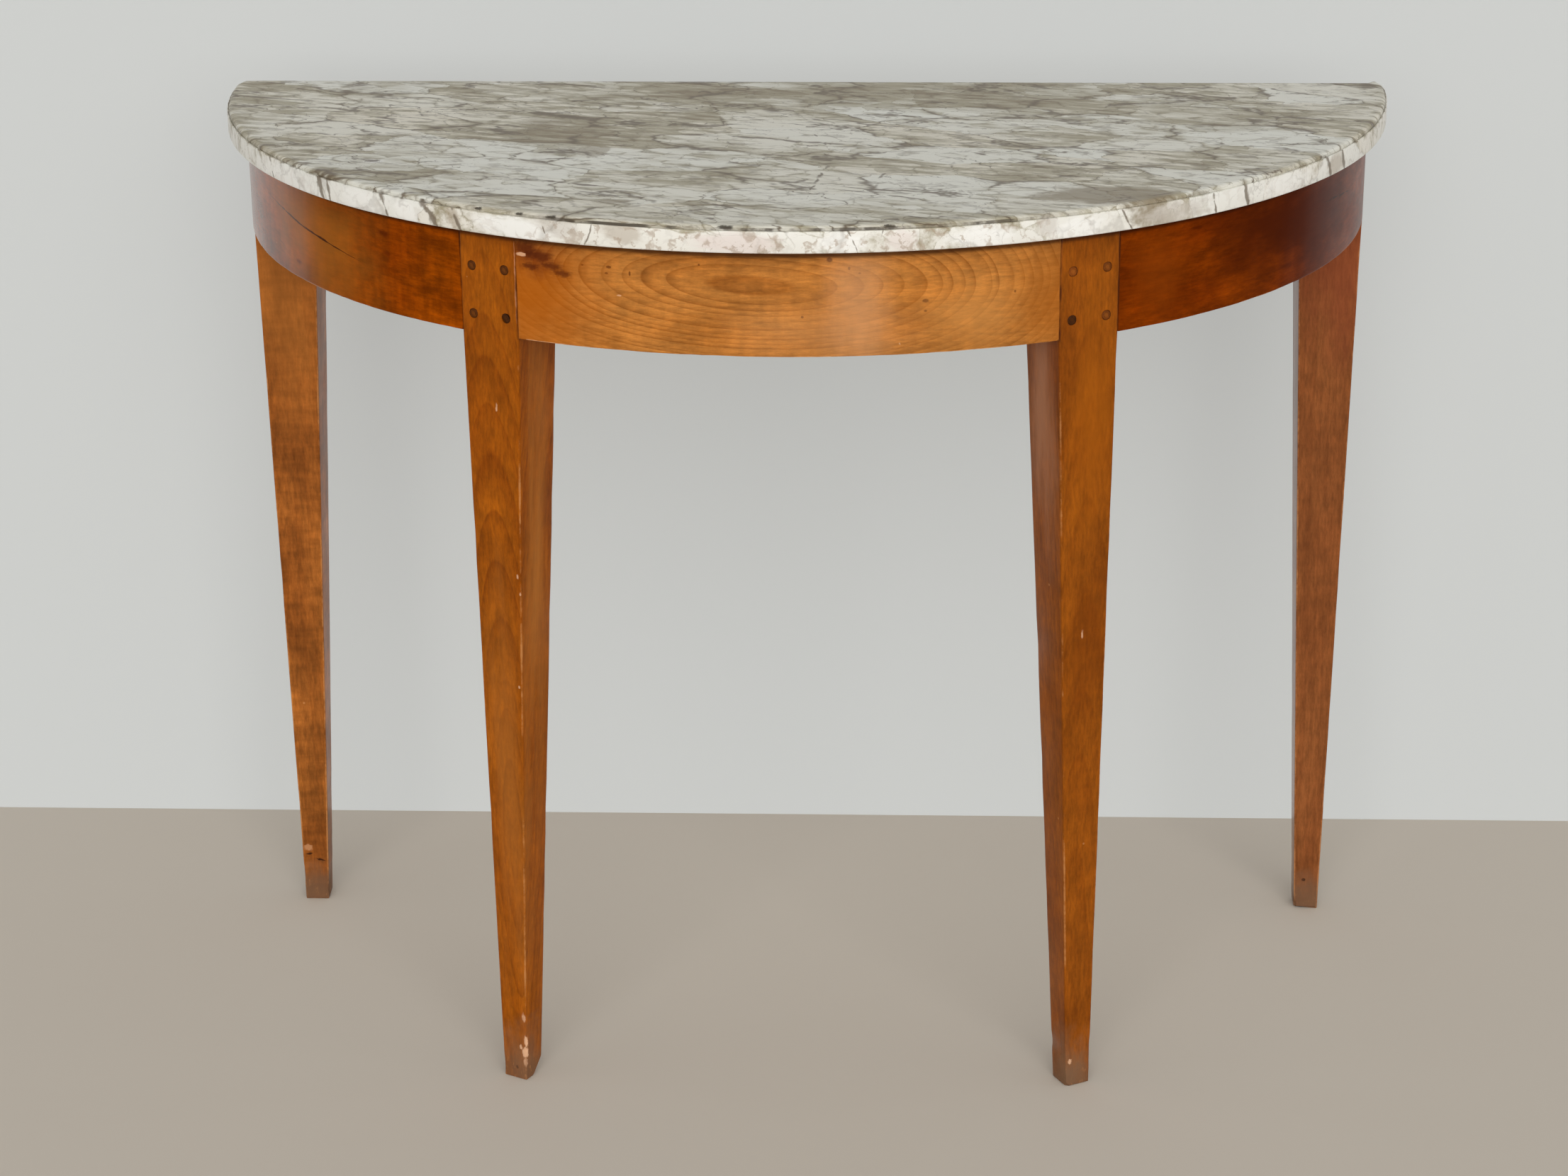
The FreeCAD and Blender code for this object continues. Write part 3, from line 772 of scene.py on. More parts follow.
@dataclass(frozen=True)
class MarbleFinish:
    """A polished breccia: pale lumps of stone, clouded with taupe and crossed by broken veins.

    Lumps and crumbs each give a size, how far it is warped and the width of the veins between.
    """

    cool: Colour = tone(233, 231, 219)
    warm: Colour = tone(228, 220, 201)
    fresh: Colour = tone(247, 246, 244)
    taupe: Colour = tone(172, 163, 138)
    brown: Colour = tone(140, 125, 98)
    vein: Colour = tone(104, 88, 68)
    curl: Colour = tone(164, 140, 116)
    # Dirt with painted shade, darkening the quirk under the band.
    grime: Colour = tone(72, 62, 48)
    lumps: Triple = mm(68, 60, 2.2)
    crumbs: Triple = mm(21, 15, 0.9)
    bedding: float = math.radians(-15)
    stretch: Triple = (1.65, 0.78, 1.0)
    front_near: float = 140 * MM
    front_far: float = 240 * MM
    ledge_fade: float = 1.5 * MM
    gloss: float = 0.3
    specular: float = 0.3
    relief: float = 0.2 * MM

    def material(
        self, name: str, effects: Effects, clouds: Sequence[Cloud], patches: Sequence[Spot],
        veins: Sequence[Line], ledge: float,
    ) -> bpy.types.Material:
        """Makes the stone of the slab.

        Args:
            name: Name of the material.
            effects: The shared node groups.
            clouds: Where the stone is clouded more or less.
            patches: Patches in the stone, under the veins.
            veins: Long veins.
            ledge: Height below which the upright face is clearer than the top.

        Returns:
            The material.
        """
        material, graph, shader, place = new_material(name, effects)
        turned = graph.turned(place, turn=(0.0, 0.0, self.bedding), scale=self.stretch)
        (vein, halo, lump), (small_vein, small_halo, small_lump) = (
            graph.effect(effects.veins, {"Vector": turned, "Cell": cell, "Warp": warp, "Width": width})
            for cell, warp, width in (self.lumps, self.crumbs)
        )
        threads, hairs, curls = (
            graph.effect(effects.threads, {"Vector": where, "Scale": scale, "Width": width * MM})[0]
            for where, scale, width in ((turned, 13.0, 1.2), (turned, 36.0, 0.8), (place, 55.0, 0.9))
        )
        aside, _, height = graph.split(place)
        upright = graph.ease(height, ledge, ledge - self.ledge_fade)
        front = graph.ease(graph.math("ABSOLUTE", aside), self.front_near, self.front_far, 0.95, 0.2)
        wisp = graph.noise(turned, (38.0, 95.0, 60.0), 8.0, 0.72)
        murk = graph.plus(0.175, graph.noise(place, 6.0, 3.0), 0.65)
        for value, weight in ((lump, 0.26), (small_lump, 0.15), (wisp, graph.plus(0.45, lump, 1.1))):
            murk = graph.plus(murk, graph.centred(value), weight)
        for cloud in clouds:
            murk = graph.math("ADD", murk, cloud.shift(graph, place))
        for value, weight in ((small_halo, 0.12), (halo, 0.1), (upright, -0.17)):
            murk = graph.plus(murk, value, weight)
        colour = graph.mix(lump, self.cool, self.warm)
        colour = graph.mix(graph.times(upright, 0.4), colour, self.fresh)
        colour = graph.mix(graph.ease(murk, 0.35, 0.69), colour, self.taupe)
        colour = graph.mix(graph.ease(murk, 0.64, 0.96), colour, self.brown)
        colour = paint(graph, place, colour, patches)
        calm = graph.plus(1.0, upright, -0.75)
        for mask, weight in ((hairs, 0.4), (small_vein, 0.4), (vein, 0.9), (threads, 0.9)):
            colour = graph.mix(graph.times(mask, weight, calm), colour, self.vein)
        colour = graph.mix(graph.times(curls, upright, front, 0.6), colour, self.curl)
        colour = paint(graph, place, colour, veins)
        patchy = graph.ease(graph.noise(place, 30.0, 4.0, 0.65), 0.4, 0.56, 0.25, 1.0)
        # Dirt and painted shade in the quirk, only over the middle of the front.
        quirk_dirt_and_shade = graph.ease(graph.attribute("quirk"), 0.3, 0.8)
        graph.wire(shader, {
            "Base Color": graph.mix(graph.times(quirk_dirt_and_shade, patchy, front), colour, self.grime),
            "Roughness": graph.ease(murk, 0.3, 0.8, self.gloss, self.gloss + 0.1),
            "Specular IOR Level": self.specular,
            "Normal": graph.bump(graph.plus(graph.noise(place, 700.0), threads, -0.6), 0.06, self.relief),
        })
        return material


@dataclass(frozen=True)
class Bend:
    """The half circle that the aprons and the slab follow."""

    back: float
    apron_outer: float
    apron_inner: float
    apron_low: float
    apron_high: float

    @classmethod
    def read(cls) -> "Bend":
        """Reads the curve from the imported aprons.

        Returns:
            The curve.
        """
        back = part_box("marble_top")[1].y
        low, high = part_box("apron_centre")
        points = [vert.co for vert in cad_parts["apron_centre"].data.vertices]
        rim = [point for point in points if abs(point.z - high.z) < SAME_LEVEL]
        inner = min(math.hypot(point.x, back - point.y) for point in rim)
        return cls(back, back - low.y, inner, low.z, high.z)

    @property
    def centre(self) -> Vector:
        """Centre of the half circle on the floor."""
        return Vector((0.0, self.back, 0.0))

    def on_face(self, arc: float, height: float) -> Triple:
        """A place on the aprons' outer face as marks are placed: millimetres along the curve and up."""
        return (arc * MM, self.apron_outer, height * MM)

    def unrolled(self, graph: Graph, place: Socket) -> Socket:
        """Coordinates along the curve, out from its centre and up."""
        feeds = {"Vector": place, "Back": self.back, "Bend": self.apron_outer}
        parts = dict(enumerate(graph.effect(graph.effects.unroll, feeds)))
        return graph.add("ShaderNodeCombineXYZ", parts).outputs[0]


class Shell:
    """A piece under construction, and the steps that the pieces share."""

    def __init__(self, attribute: str = "arris") -> None:
        """Starts an empty mesh whose points carry one value for the shaders, under the attribute's name."""
        self.mesh = bmesh.new()
        self.value = self.mesh.verts.layers.float.new(attribute)

    def everything(self) -> list[bmesh.types.BMVert | bmesh.types.BMEdge | bmesh.types.BMFace]:
        """All vertices, edges and faces."""
        return [*self.mesh.verts, *self.mesh.edges, *self.mesh.faces]

    def ring(self, points: Iterable[Vector]) -> list[bmesh.types.BMEdge]:
        """Adds a closed ring of edges through points in order."""
        corners = [self.mesh.verts.new(point) for point in points]
        return [self.mesh.edges.new(pair) for pair in zip(corners, [*corners[1:], corners[0]])]

    def cut(self, point: Vector, normal: Vector, clear: bool = False) -> None:
        """Cuts the mesh with a plane.

        Args:
            point: A point of the plane.
            normal: The plane's normal.
            clear: Whether the side that the normal points to is cut away and the cut closed.
        """
        made = bmesh.ops.bisect_plane(
            self.mesh, geom=self.everything(), dist=ON_PLANE, plane_co=point, plane_no=normal,
            clear_outer=clear,
        )
        if clear:
            rim = [part for part in made["geom_cut"] if isinstance(part, bmesh.types.BMEdge)]
            bmesh.ops.holes_fill(self.mesh, edges=rim, sides=0)

    def side_faces(self, normal: Vector, spread: float = 0.9) -> list[bmesh.types.BMFace]:
        """Faces that look one way, down to the least cosine of their angle to it."""
        self.mesh.normal_update()
        return [face for face in self.mesh.faces if face.normal.dot(normal) > spread]

    def ease_corners(self, width: float, segments: int = 2) -> None:
        """Breaks every sharp arris and marks it for wear.

        Args:
            width: Width of the broken arris on each face.
            segments: Facets across it.
        """
        self.mesh.normal_update()
        sharp = [edge for edge in self.mesh.edges if edge.calc_face_angle(0.0) > SHARP_CORNER]
        made = bmesh.ops.bevel(
            self.mesh, geom=sharp, offset=width, offset_type="OFFSET", affect="EDGES", segments=segments,
            profile=0.5, material=-1, clamp_overlap=True,
        )
        for vert in made["verts"]:
            vert[self.value] = 1.0

    def soil(self, joint: Callable[[Vector], bool]) -> None:
        """Marks worn arrises as joints, which hold dirt instead of wear.

        Args:
            joint: Whether a point lies on a joint.
        """
        for vert in self.mesh.verts:
            if vert[self.value] > 0.5 and joint(vert.co):
                vert[self.value] = -1.0

    def rub(
        self, depth: float, waves: float, seed: float, foot_depth: float = 0.0, foot: float = 50 * MM
    ) -> None:
        """Wears the arrises back unevenly.

        Args:
            depth: Deepest wear.
            waves: Waves of wear per metre.
            seed: Shift that makes each piece differ.
            foot_depth: Deepest extra wear at the floor.
            foot: Height over which the extra wear fades out.
        """
        self.mesh.normal_update()
        shift = Vector((seed, -seed, 0.5 * seed))
        for vert in self.mesh.verts:
            if vert[self.value] < 0.5:
                continue
            bite = max(0.0, noise.noise(vert.co * waves + shift))
            reach = depth + foot_depth * smoothstep(foot, 0.0, vert.co.z)
            vert.co -= vert.normal * bite * reach

    def gouge(self, point: Vector, reach: float, depth: float, waves: float = 160.0) -> None:
        """Splits a piece out of an arris.

        Args:
            point: Middle of the split.
            reach: Half its height.
            depth: How deep it goes.
            waves: Waves of its ragged floor per metre.
        """
        self.mesh.normal_update()
        for vert in self.mesh.verts:
            away = vert.co - point
            if vert[self.value] < 0.5 or Vector((away.x, away.y)).length > reach:
                continue
            ragged = 0.7 + 0.6 * noise.noise(vert.co * waves)
            vert.co -= vert.normal * depth * ragged * smoothstep(reach, 0.6 * reach, abs(away.z))

    def bore(self, point: Vector, outward: Vector, radius: float, depth: float) -> None:
        """Sinks a round peg hole into a flat face.

        Args:
            point: Centre of the hole on the face.
            outward: The face's normal.
            radius: Radius of the hole.
            depth: Depth of the hole.
        """
        across = outward.cross(UP)
        collar, lip = 1.35 * radius, 0.1 * radius
        for way in (across, -across, UP, -UP):
            flat = [
                face for face in self.side_faces(outward, 0.9999)
                if abs((face.calc_center_median() - point).dot(outward)) < SAME_LEVEL
            ]
            parts = {part for face in flat for part in (*face.verts, *face.edges)}
            bmesh.ops.bisect_plane(
                self.mesh, geom=[*parts, *flat], dist=ON_PLANE, plane_co=point + way * collar, plane_no=way
            )
        cell = min(self.mesh.faces, key=lambda face: (face.calc_center_median() - point).length)
        bmesh.ops.bisect_edges(self.mesh, edges=list(cell.edges), cuts=4)
        bmesh.ops.inset_individual(self.mesh, faces=[cell], thickness=lip, use_even_offset=True)
        for vert in cell.verts:
            vert.co = point + (vert.co - point).normalized() * radius
            vert[self.value] = -1.0
        bmesh.ops.inset_individual(self.mesh, faces=[cell], thickness=0.0, depth=-depth)

    def place(self, matrix: Matrix) -> None:
        """Moves the whole mesh."""
        bmesh.ops.transform(self.mesh, matrix=matrix, verts=self.mesh.verts[:])

    def finish(
        self, name: str, body: Body, slot: Slot, material: bpy.types.Material, nodes: Sequence[str]
    ) -> bpy.types.Object:
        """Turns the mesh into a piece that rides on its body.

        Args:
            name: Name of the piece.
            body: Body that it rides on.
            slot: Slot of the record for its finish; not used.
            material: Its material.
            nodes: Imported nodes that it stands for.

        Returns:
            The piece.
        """
        bmesh.ops.remove_doubles(self.mesh, verts=self.mesh.verts[:], dist=SAME_POINT)
        bmesh.ops.recalc_face_normals(self.mesh, faces=self.mesh.faces[:])
        data = bpy.data.meshes.new(name)
        self.mesh.to_mesh(data)
        self.mesh.free()
        data.shade_smooth()
        data.set_sharp_from_angle(angle=SMOOTH_UP_TO)
        data.materials.append(material)
        piece = bpy.data.objects.new(name, data)
        bpy.context.scene.collection.objects.link(piece)
        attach(piece, body.value)
        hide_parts(*nodes)
        log.info("%s: %d faces, rides on %s", name, len(data.polygons), body.value)
        return piece


@dataclass
class MarbleTop:
    """The loose half-round slab: a rounded band, a fine quirk and an upright face round the front."""

    bend: Bend
    effects: Effects
    finish: MarbleFinish
    corner: float = 13 * MM
    band_depth: float = 3.3 * MM
    band_width: float = 4.6 * MM
    ledge: float = 1.5 * MM
    quirk: float = 1.0 * MM
    arris: float = 0.8 * MM
    lower_arris: float = 1.2 * MM
    margin: float = 9 * MM
    moulded: float = 0.9
    nick_depth: float = 0.7 * MM
    nick_waves: float = 90.0
    nick_least: float = 0.15
    nick_clear: float = 2 * MM
    chip_inset: float = 16 * MM
    chip_depth: float = 2.2 * MM
    chip_reach: float = 9 * MM
    chip_floor: float = 2 * MM
    front_steps: int = 240
    corner_steps: int = 10

    def __post_init__(self) -> None:
        """Reads the slab's own size."""
        low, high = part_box("marble_top")
        self.radius, self.low, self.high = self.bend.back - low.y, low.z, high.z

    def profile(self) -> list[Triple]:
        """The moulded edge, from the top surface round to the underside.

        Returns:
            Distances in from the slab's edge, with heights and with the share of dirt and painted shade that
            lies there.
        """
        top, bottom, inner = self.high, self.low, self.ledge
        ledge = top - self.band_depth
        brow = ledge - 0.3 * self.quirk
        quarter = [math.radians(angle) for angle in range(0, 91, 15)]
        dirty, filled = math.radians(35), math.radians(75)
        band = [
            (inner + self.band_width * (1 - math.sin(turn)), top - self.band_depth * (1 - math.cos(turn)),
             smoothstep(dirty, filled, turn))
            for turn in quarter
        ]
        sunk = [
            (inner + 0.3 * self.quirk, ledge - 0.2 * self.quirk, 0.6),
            (inner + 0.2 * self.quirk, ledge - self.quirk, 1.0),
            (inner - 0.3 * self.quirk, ledge - self.quirk, 1.0),
        ]
        arris = [
            (self.arris * (1 - math.sin(turn)), brow - self.arris * (1 - math.cos(turn)), 0.0)
            for turn in quarter[::2]
        ]
        under = [
            (self.lower_arris * (1 - math.cos(turn)), bottom + self.lower_arris * (1 - math.sin(turn)), 0.0)
            for turn in quarter[::2]
        ]
        return [(self.margin, top, 0.0), *band, *sunk, *arris, *under, (self.margin, bottom, 0.0)]

    def build(self) -> bpy.types.Object:
        """Sweeps the profile round the outline and closes the slab.

        Returns:
            The piece.
        """
        shell = Shell("quirk")
        mesh = shell.mesh
        back, corner = self.bend.back, self.corner
        out = math.sqrt((self.radius - corner) ** 2 - corner**2)
        lean = math.asin(corner / (self.radius - corner))
        start = []
        # The third value is the share of dirt and painted shade in the quirk.
        for inset, height, dirt in self.profile():
            vert = mesh.verts.new((out, back - inset, height))
            vert[shell.value] = dirt
            start.append(vert)
        first = [mesh.edges.new(pair) for pair in zip(start, start[1:])]
        wire = list(first)
        turns = (
            (Vector((out, back - corner, 0.0)), math.pi / 2 + lean, self.corner_steps),
            (self.bend.centre, math.pi - 2 * lean, self.front_steps),
            (Vector((-out, back - corner, 0.0)), math.pi / 2 + lean, self.corner_steps),
        )
        for centre, angle, steps in turns:
            spun = bmesh.ops.spin(mesh, geom=wire, cent=centre, axis=UP, angle=-angle, steps=steps)
            wire = [part for part in spun["geom_last"] if isinstance(part, bmesh.types.BMEdge)]
        bmesh.ops.bridge_loops(mesh, edges=[*wire, *first])
        self._flatten_back(shell, out)
        for height in (self.high, self.low):
            rim = [
                edge for edge in mesh.edges
                if edge.is_boundary and all(abs(vert.co.z - height) < SAME_LEVEL for vert in edge.verts)
            ]
            bmesh.ops.contextual_create(mesh, geom=rim)
        self._wear(shell)
        material = self.finish.material(
            "veined_marble", self.effects, self.clouds(), [*self.patches(), *self.edge_patches()],
            [*self.long_veins(), *self.edge_veins()], self.high - self.band_depth,
        )
        return shell.finish("marble_slab", Body.SLAB, Slot.MARBLE, material, ["marble_top"])

    def _flatten_back(self, shell: Shell, out: float) -> None:
        """Lets the moulding die away round the corners, so that the back is a plain sawn face.

        Args:
            shell: The slab under construction.
            out: Distance of the corners' centres from the middle.
        """
        middle = self.bend.back - self.corner
        whole, gone = math.radians(20), math.radians(80)
        for vert in shell.mesh.verts:
            if vert.co.y < middle:
                continue
            aside = max(0.0, abs(vert.co.x) - out)
            away = Vector((aside, vert.co.y - middle))
            keep = 1.0 - smoothstep(whole, gone, math.atan2(away.y, aside))
            inset = self.corner - away.length
            if inset >= self.margin - SAME_LEVEL:
                continue
            away = away.normalized() * (self.corner - inset * keep)
            vert.co.x = math.copysign(out + away.x, vert.co.x) if aside > 0 else vert.co.x
            vert.co.y = middle + away.y

    def _wear(self, shell: Shell) -> None:
        """Softens and nicks the moulding, and knocks a chip off the right back corner.

        Args:
            shell: The slab under construction.
        """
        chip = Vector((self.radius - self.chip_inset, self.bend.back, self.high))
        moulded, lowest = self.radius - self.margin * self.moulded, self.low + self.nick_clear
        for vert in shell.mesh.verts:
            out = (Vector((vert.co.x, vert.co.y, 0.0)) - self.bend.centre).length
            if out > moulded and vert.co.z > lowest:
                nick = max(0.0, noise.noise(vert.co * self.nick_waves) - self.nick_least)
                vert.co.z -= nick * self.nick_depth * smoothstep(self.low, self.high, vert.co.z)
            near = (vert.co - chip).length
            vert.co.z -= self.chip_depth * smoothstep(self.chip_reach, self.chip_floor, near)

    def on_top(self, x: float, y: float) -> Triple:
        """A place on the top surface, in millimetres."""
        return (x * MM, y * MM, self.high)

    def on_edge(self, degrees: float, depth: float) -> Triple:
        """A place on the upright edge.

        Args:
            degrees: Angle round the curve from the middle of the front.
            depth: Depth below the top surface in millimetres.

        Returns:
            The place.
        """
        turn = math.radians(degrees)
        point = self.bend.centre + Vector((math.sin(turn), -math.cos(turn), 0.0)) * self.radius
        return (point.x, point.y, self.high - depth * MM)

    def clouds(self) -> list[Cloud]:
        """Where the top is darkened and where it is cleared, placed in plan; those far back darken it along
        the back.

        Returns:
            The regions.
        """
        plan = (
            (120, 215, 440, 80, 0.15), (-40, 185, 180, 60, 0.07), (330, 130, 190, 90, 0.08),
            (-375, 120, 110, 105, -0.21), (-198, 55, 62, 100, 0.15), (-255, -105, 140, 62, 0.1),
            (5, 60, 115, 62, -0.17), (30, -115, 155, 75, -0.16), (246, -35, 70, 58, -0.12),
            (-150, -50, 50, 40, -0.1), (-470, 235, 50, 30, 0.2),
        )
        return [Cloud(self.on_top(x, y), mm(wide, long, 80), push) for x, y, wide, long, push in plan]

    def patches(self) -> list[Spot]:
        """Brown lumps of the stone and a pit with a pale rim, placed in plan.

        Returns:
            The patches.
        """
        brown, dark, pale = self.finish.brown, tone(96, 82, 68), tone(236, 233, 226)
        plan = (
            (250, -155, 66, 31, brown, 0.85), (-215, 95, 26, 44, brown, 0.42),
            (-165, -8, 16, 30, brown, 0.6), (-135, -178, 18, 8, brown, 0.7),
            (-341, -48, 10, 7, pale, 0.9), (-343, -47, 7, 4, dark, 0.9),
        )
        return [
            Spot(self.on_top(x, y), mm(wide, long, 40), colour, strength, 1.3, 0.35)
            for x, y, wide, long, colour, strength in plan
        ]

    def edge_patches(self) -> list[Spot]:
        """Lumps that come out on the upright edge, and dirt that has caught on the band.

        Returns:
            The patches.
        """
        pink, grey, brown = tone(230, 218, 210), tone(207, 200, 190), tone(160, 140, 114)
        pale, dirt = tone(247, 245, 239), tone(52, 44, 34)
        lumps = (
            (-55, 70, 14, pale, 0.7), (-42, 30, 14, pale, 0.8), (-36, 16, 14, pale, 0.8),
            (-24, 50, 14, pale, 0.9), (-30.5, 9, 12, brown, 0.5), (-20, 26, 8, grey, 0.6),
            (-14, 22, 9, brown, 0.45), (-4, 44, 14, pink, 0.85), (5, 24, 14, pale, 0.9),
            (10, 14, 13, pink, 0.7), (17, 32, 14, pale, 0.9), (26, 26, 15, pale, 0.9),
            (23, 10, 9, grey, 0.6), (36, 40, 14, grey, 0.7), (51, 46, 14, pale, 0.8),
            (60, 22, 13, brown, 0.5),
        )
        caught = ((-34, 3), (-27.9, 5), (-23.7, 5), (-20.6, 6), (-5, 8), (9, 7), (57, 3))
        return [
            *(
                Spot(self.on_edge(angle, depth), mm(wide, wide, 11), colour, strength, 1.1, 0.5)
                for angle, wide, depth, colour, strength in lumps
            ),
            *(
                Spot(self.on_edge(angle, 1.5), mm(wide, wide, 2), dirt, 0.9, 1.2, 0.4)
                for angle, wide in caught
            ),
        ]

    def long_veins(self) -> list[Line]:
        """The long veins that cross the slab, placed in plan from end to end.

        Returns:
            The veins.
        """
        plan = (
            (-121, 59, 89, -4, 2.8), (-142, 10, 12, -32, 2.4), (26, -130, 117, -179, 2.4),
            (8, 62, 38, -15, 1.5), (34, -40, 12, -170, 1.5), (76, -70, 62, -150, 1.3),
            (-92, 60, -75, 110, 1.4), (80, 62, 100, 4, 1.4), (-425, 138, -285, 92, 1.6),
            (-270, -45, -80, -34, 1.6), (-75, -170, 5, -240, 1.8), (-247, -95, -128, -140, 2.4),
            (90, 30, 200, -70, 1.2), (230, -190, 330, -130, 1.3), (-30, 120, 120, 60, 1.2),
            (150, 120, 320, 95, 1.3), (-440, 60, -330, 20, 1.2),
        )
        return [
            Line(self.on_top(x0, y0), self.on_top(x1, y1), 1.3 * wide * MM, self.finish.vein, 22 * MM, 16.0)
            for x0, y0, x1, y1, wide in plan
        ]

    def edge_veins(self) -> list[Line]:
        """Veins that run down the upright edge: the angle of each at the top and below, and its width.

        Returns:
            The veins.
        """
        plan = (
            (-58, -57, 1.4), (-48.6, -47.2, 4.0), (-47, -46.2, 2.2), (-39.4, -38, 2.6), (-34.5, -32, 4.0),
            (-31, -29.5, 2.0), (-22, -20.5, 0.8), (-16.5, -17.5, 0.8), (5.2, 6.4, 1.1), (8.6, 7.6, 1.0),
            (30, 31.6, 1.4), (40.5, 41, 2.0), (44.2, 45.2, 2.6), (57.5, 59, 3.0), (61, 62, 3.0),
        )
        return [
            Line(self.on_edge(top, -2), self.on_edge(low, 24), wide * MM, self.finish.vein, 6 * MM, 45.0, 0.8)
            for top, low, wide in plan
        ]


@dataclass
class CurvedApron:
    """One solid apron, sawn to the curve between two legs."""

    name: str
    node: str
    bend: Bend
    arc: tuple[float, float]
    ends: Sequence[tuple[Vector, Vector]]
    material: bpy.types.Material
    arris: float = 0.6 * MM
    support: float = 1.6 * MM
    wear: float = 0.5 * MM
    wear_waves: float = 70.0
    step: float = math.radians(1.0)
    seed: float = 0.0

    def build(self) -> bpy.types.Object:
        """Spins the apron's section along the curve and cuts it to the legs.

        Returns:
            The piece.
        """
        shell = Shell()
        start, end = self.arc
        bend = self.bend
        turn = Matrix.Rotation(start, 3, "Z")
        section = [
            bend.centre + turn @ Vector((0.0, -radius, height))
            for radius, height in (
                (bend.apron_outer, bend.apron_low), (bend.apron_outer, bend.apron_high),
                (bend.apron_inner, bend.apron_high), (bend.apron_inner, bend.apron_low),
            )
        ]
        steps = math.ceil((end - start) / self.step)
        bmesh.ops.spin(
            shell.mesh, geom=shell.ring(section), cent=bend.centre, axis=UP, angle=end - start, steps=steps
        )
        bmesh.ops.recalc_face_normals(shell.mesh, faces=shell.mesh.faces[:])
        for point, normal in self.ends:
            shell.cut(point, normal, clear=True)
        for point, normal in self.ends:
            shell.cut(point - normal * self.support, normal)
        for height in (bend.apron_low + self.support, bend.apron_high - self.support):
            shell.cut(Vector((0.0, 0.0, height)), UP)
        shell.ease_corners(self.arris)
        shell.soil(self._joint)
        shell.rub(self.wear, self.wear_waves, self.seed)
        return shell.finish(self.name, Body.FRAME, Slot.APRON, self.material, [self.node])

    def _joint(self, point: Vector) -> bool:
        """Whether a point lies against a leg or under the slab."""
        return point.z > self.bend.apron_high - self.support or any(
            (point - place).dot(normal) > -self.support for place, normal in self.ends
        )


@dataclass(frozen=True)
class Level:
    """A level rectangle through a leg, in the leg's own frame."""

    low: Vector
    high: Vector

    @classmethod
    def read(cls, node: str, height: float, stand: Matrix) -> "Level":
        """Reads the rectangle from a packed leg.

        Args:
            node: The leg's node.
            height: Height of the rectangle.
            stand: Matrix from the leg's frame to the part's.

        Returns:
            The rectangle.
        """
        home = stand.inverted()
        corners = [vert.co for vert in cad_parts[node].data.vertices]
        points = [home @ corner for corner in corners if abs(corner.z - height) < SAME_LEVEL]
        ends = (Vector([pick(along) for along in zip(*points)]) for pick in (min, max))
        return cls(*ends)

    def corners(self) -> list[Vector]:
        """The four corners, in order round the leg."""
        a, b = self.low, self.high
        return [Vector((x, y, a.z)) for x, y in ((a.x, a.y), (b.x, a.y), (b.x, b.y), (a.x, b.y))]


class PegLook(Enum):
    """How a peg's end has aged: its two half widths as shares of the bore, its turn and how dark it is."""

    ROUND = (1.0, 0.97, 0.0, 0.7)
    OVAL = (0.72, 1.08, 38.0, 0.95)
    SQUARED = (1.02, 0.98, 20.0, 0.95)
    FAINT = (0.98, 1.0, 0.0, 0.2)
    SPLIT = (0.97, 1.0, 60.0, 0.4)


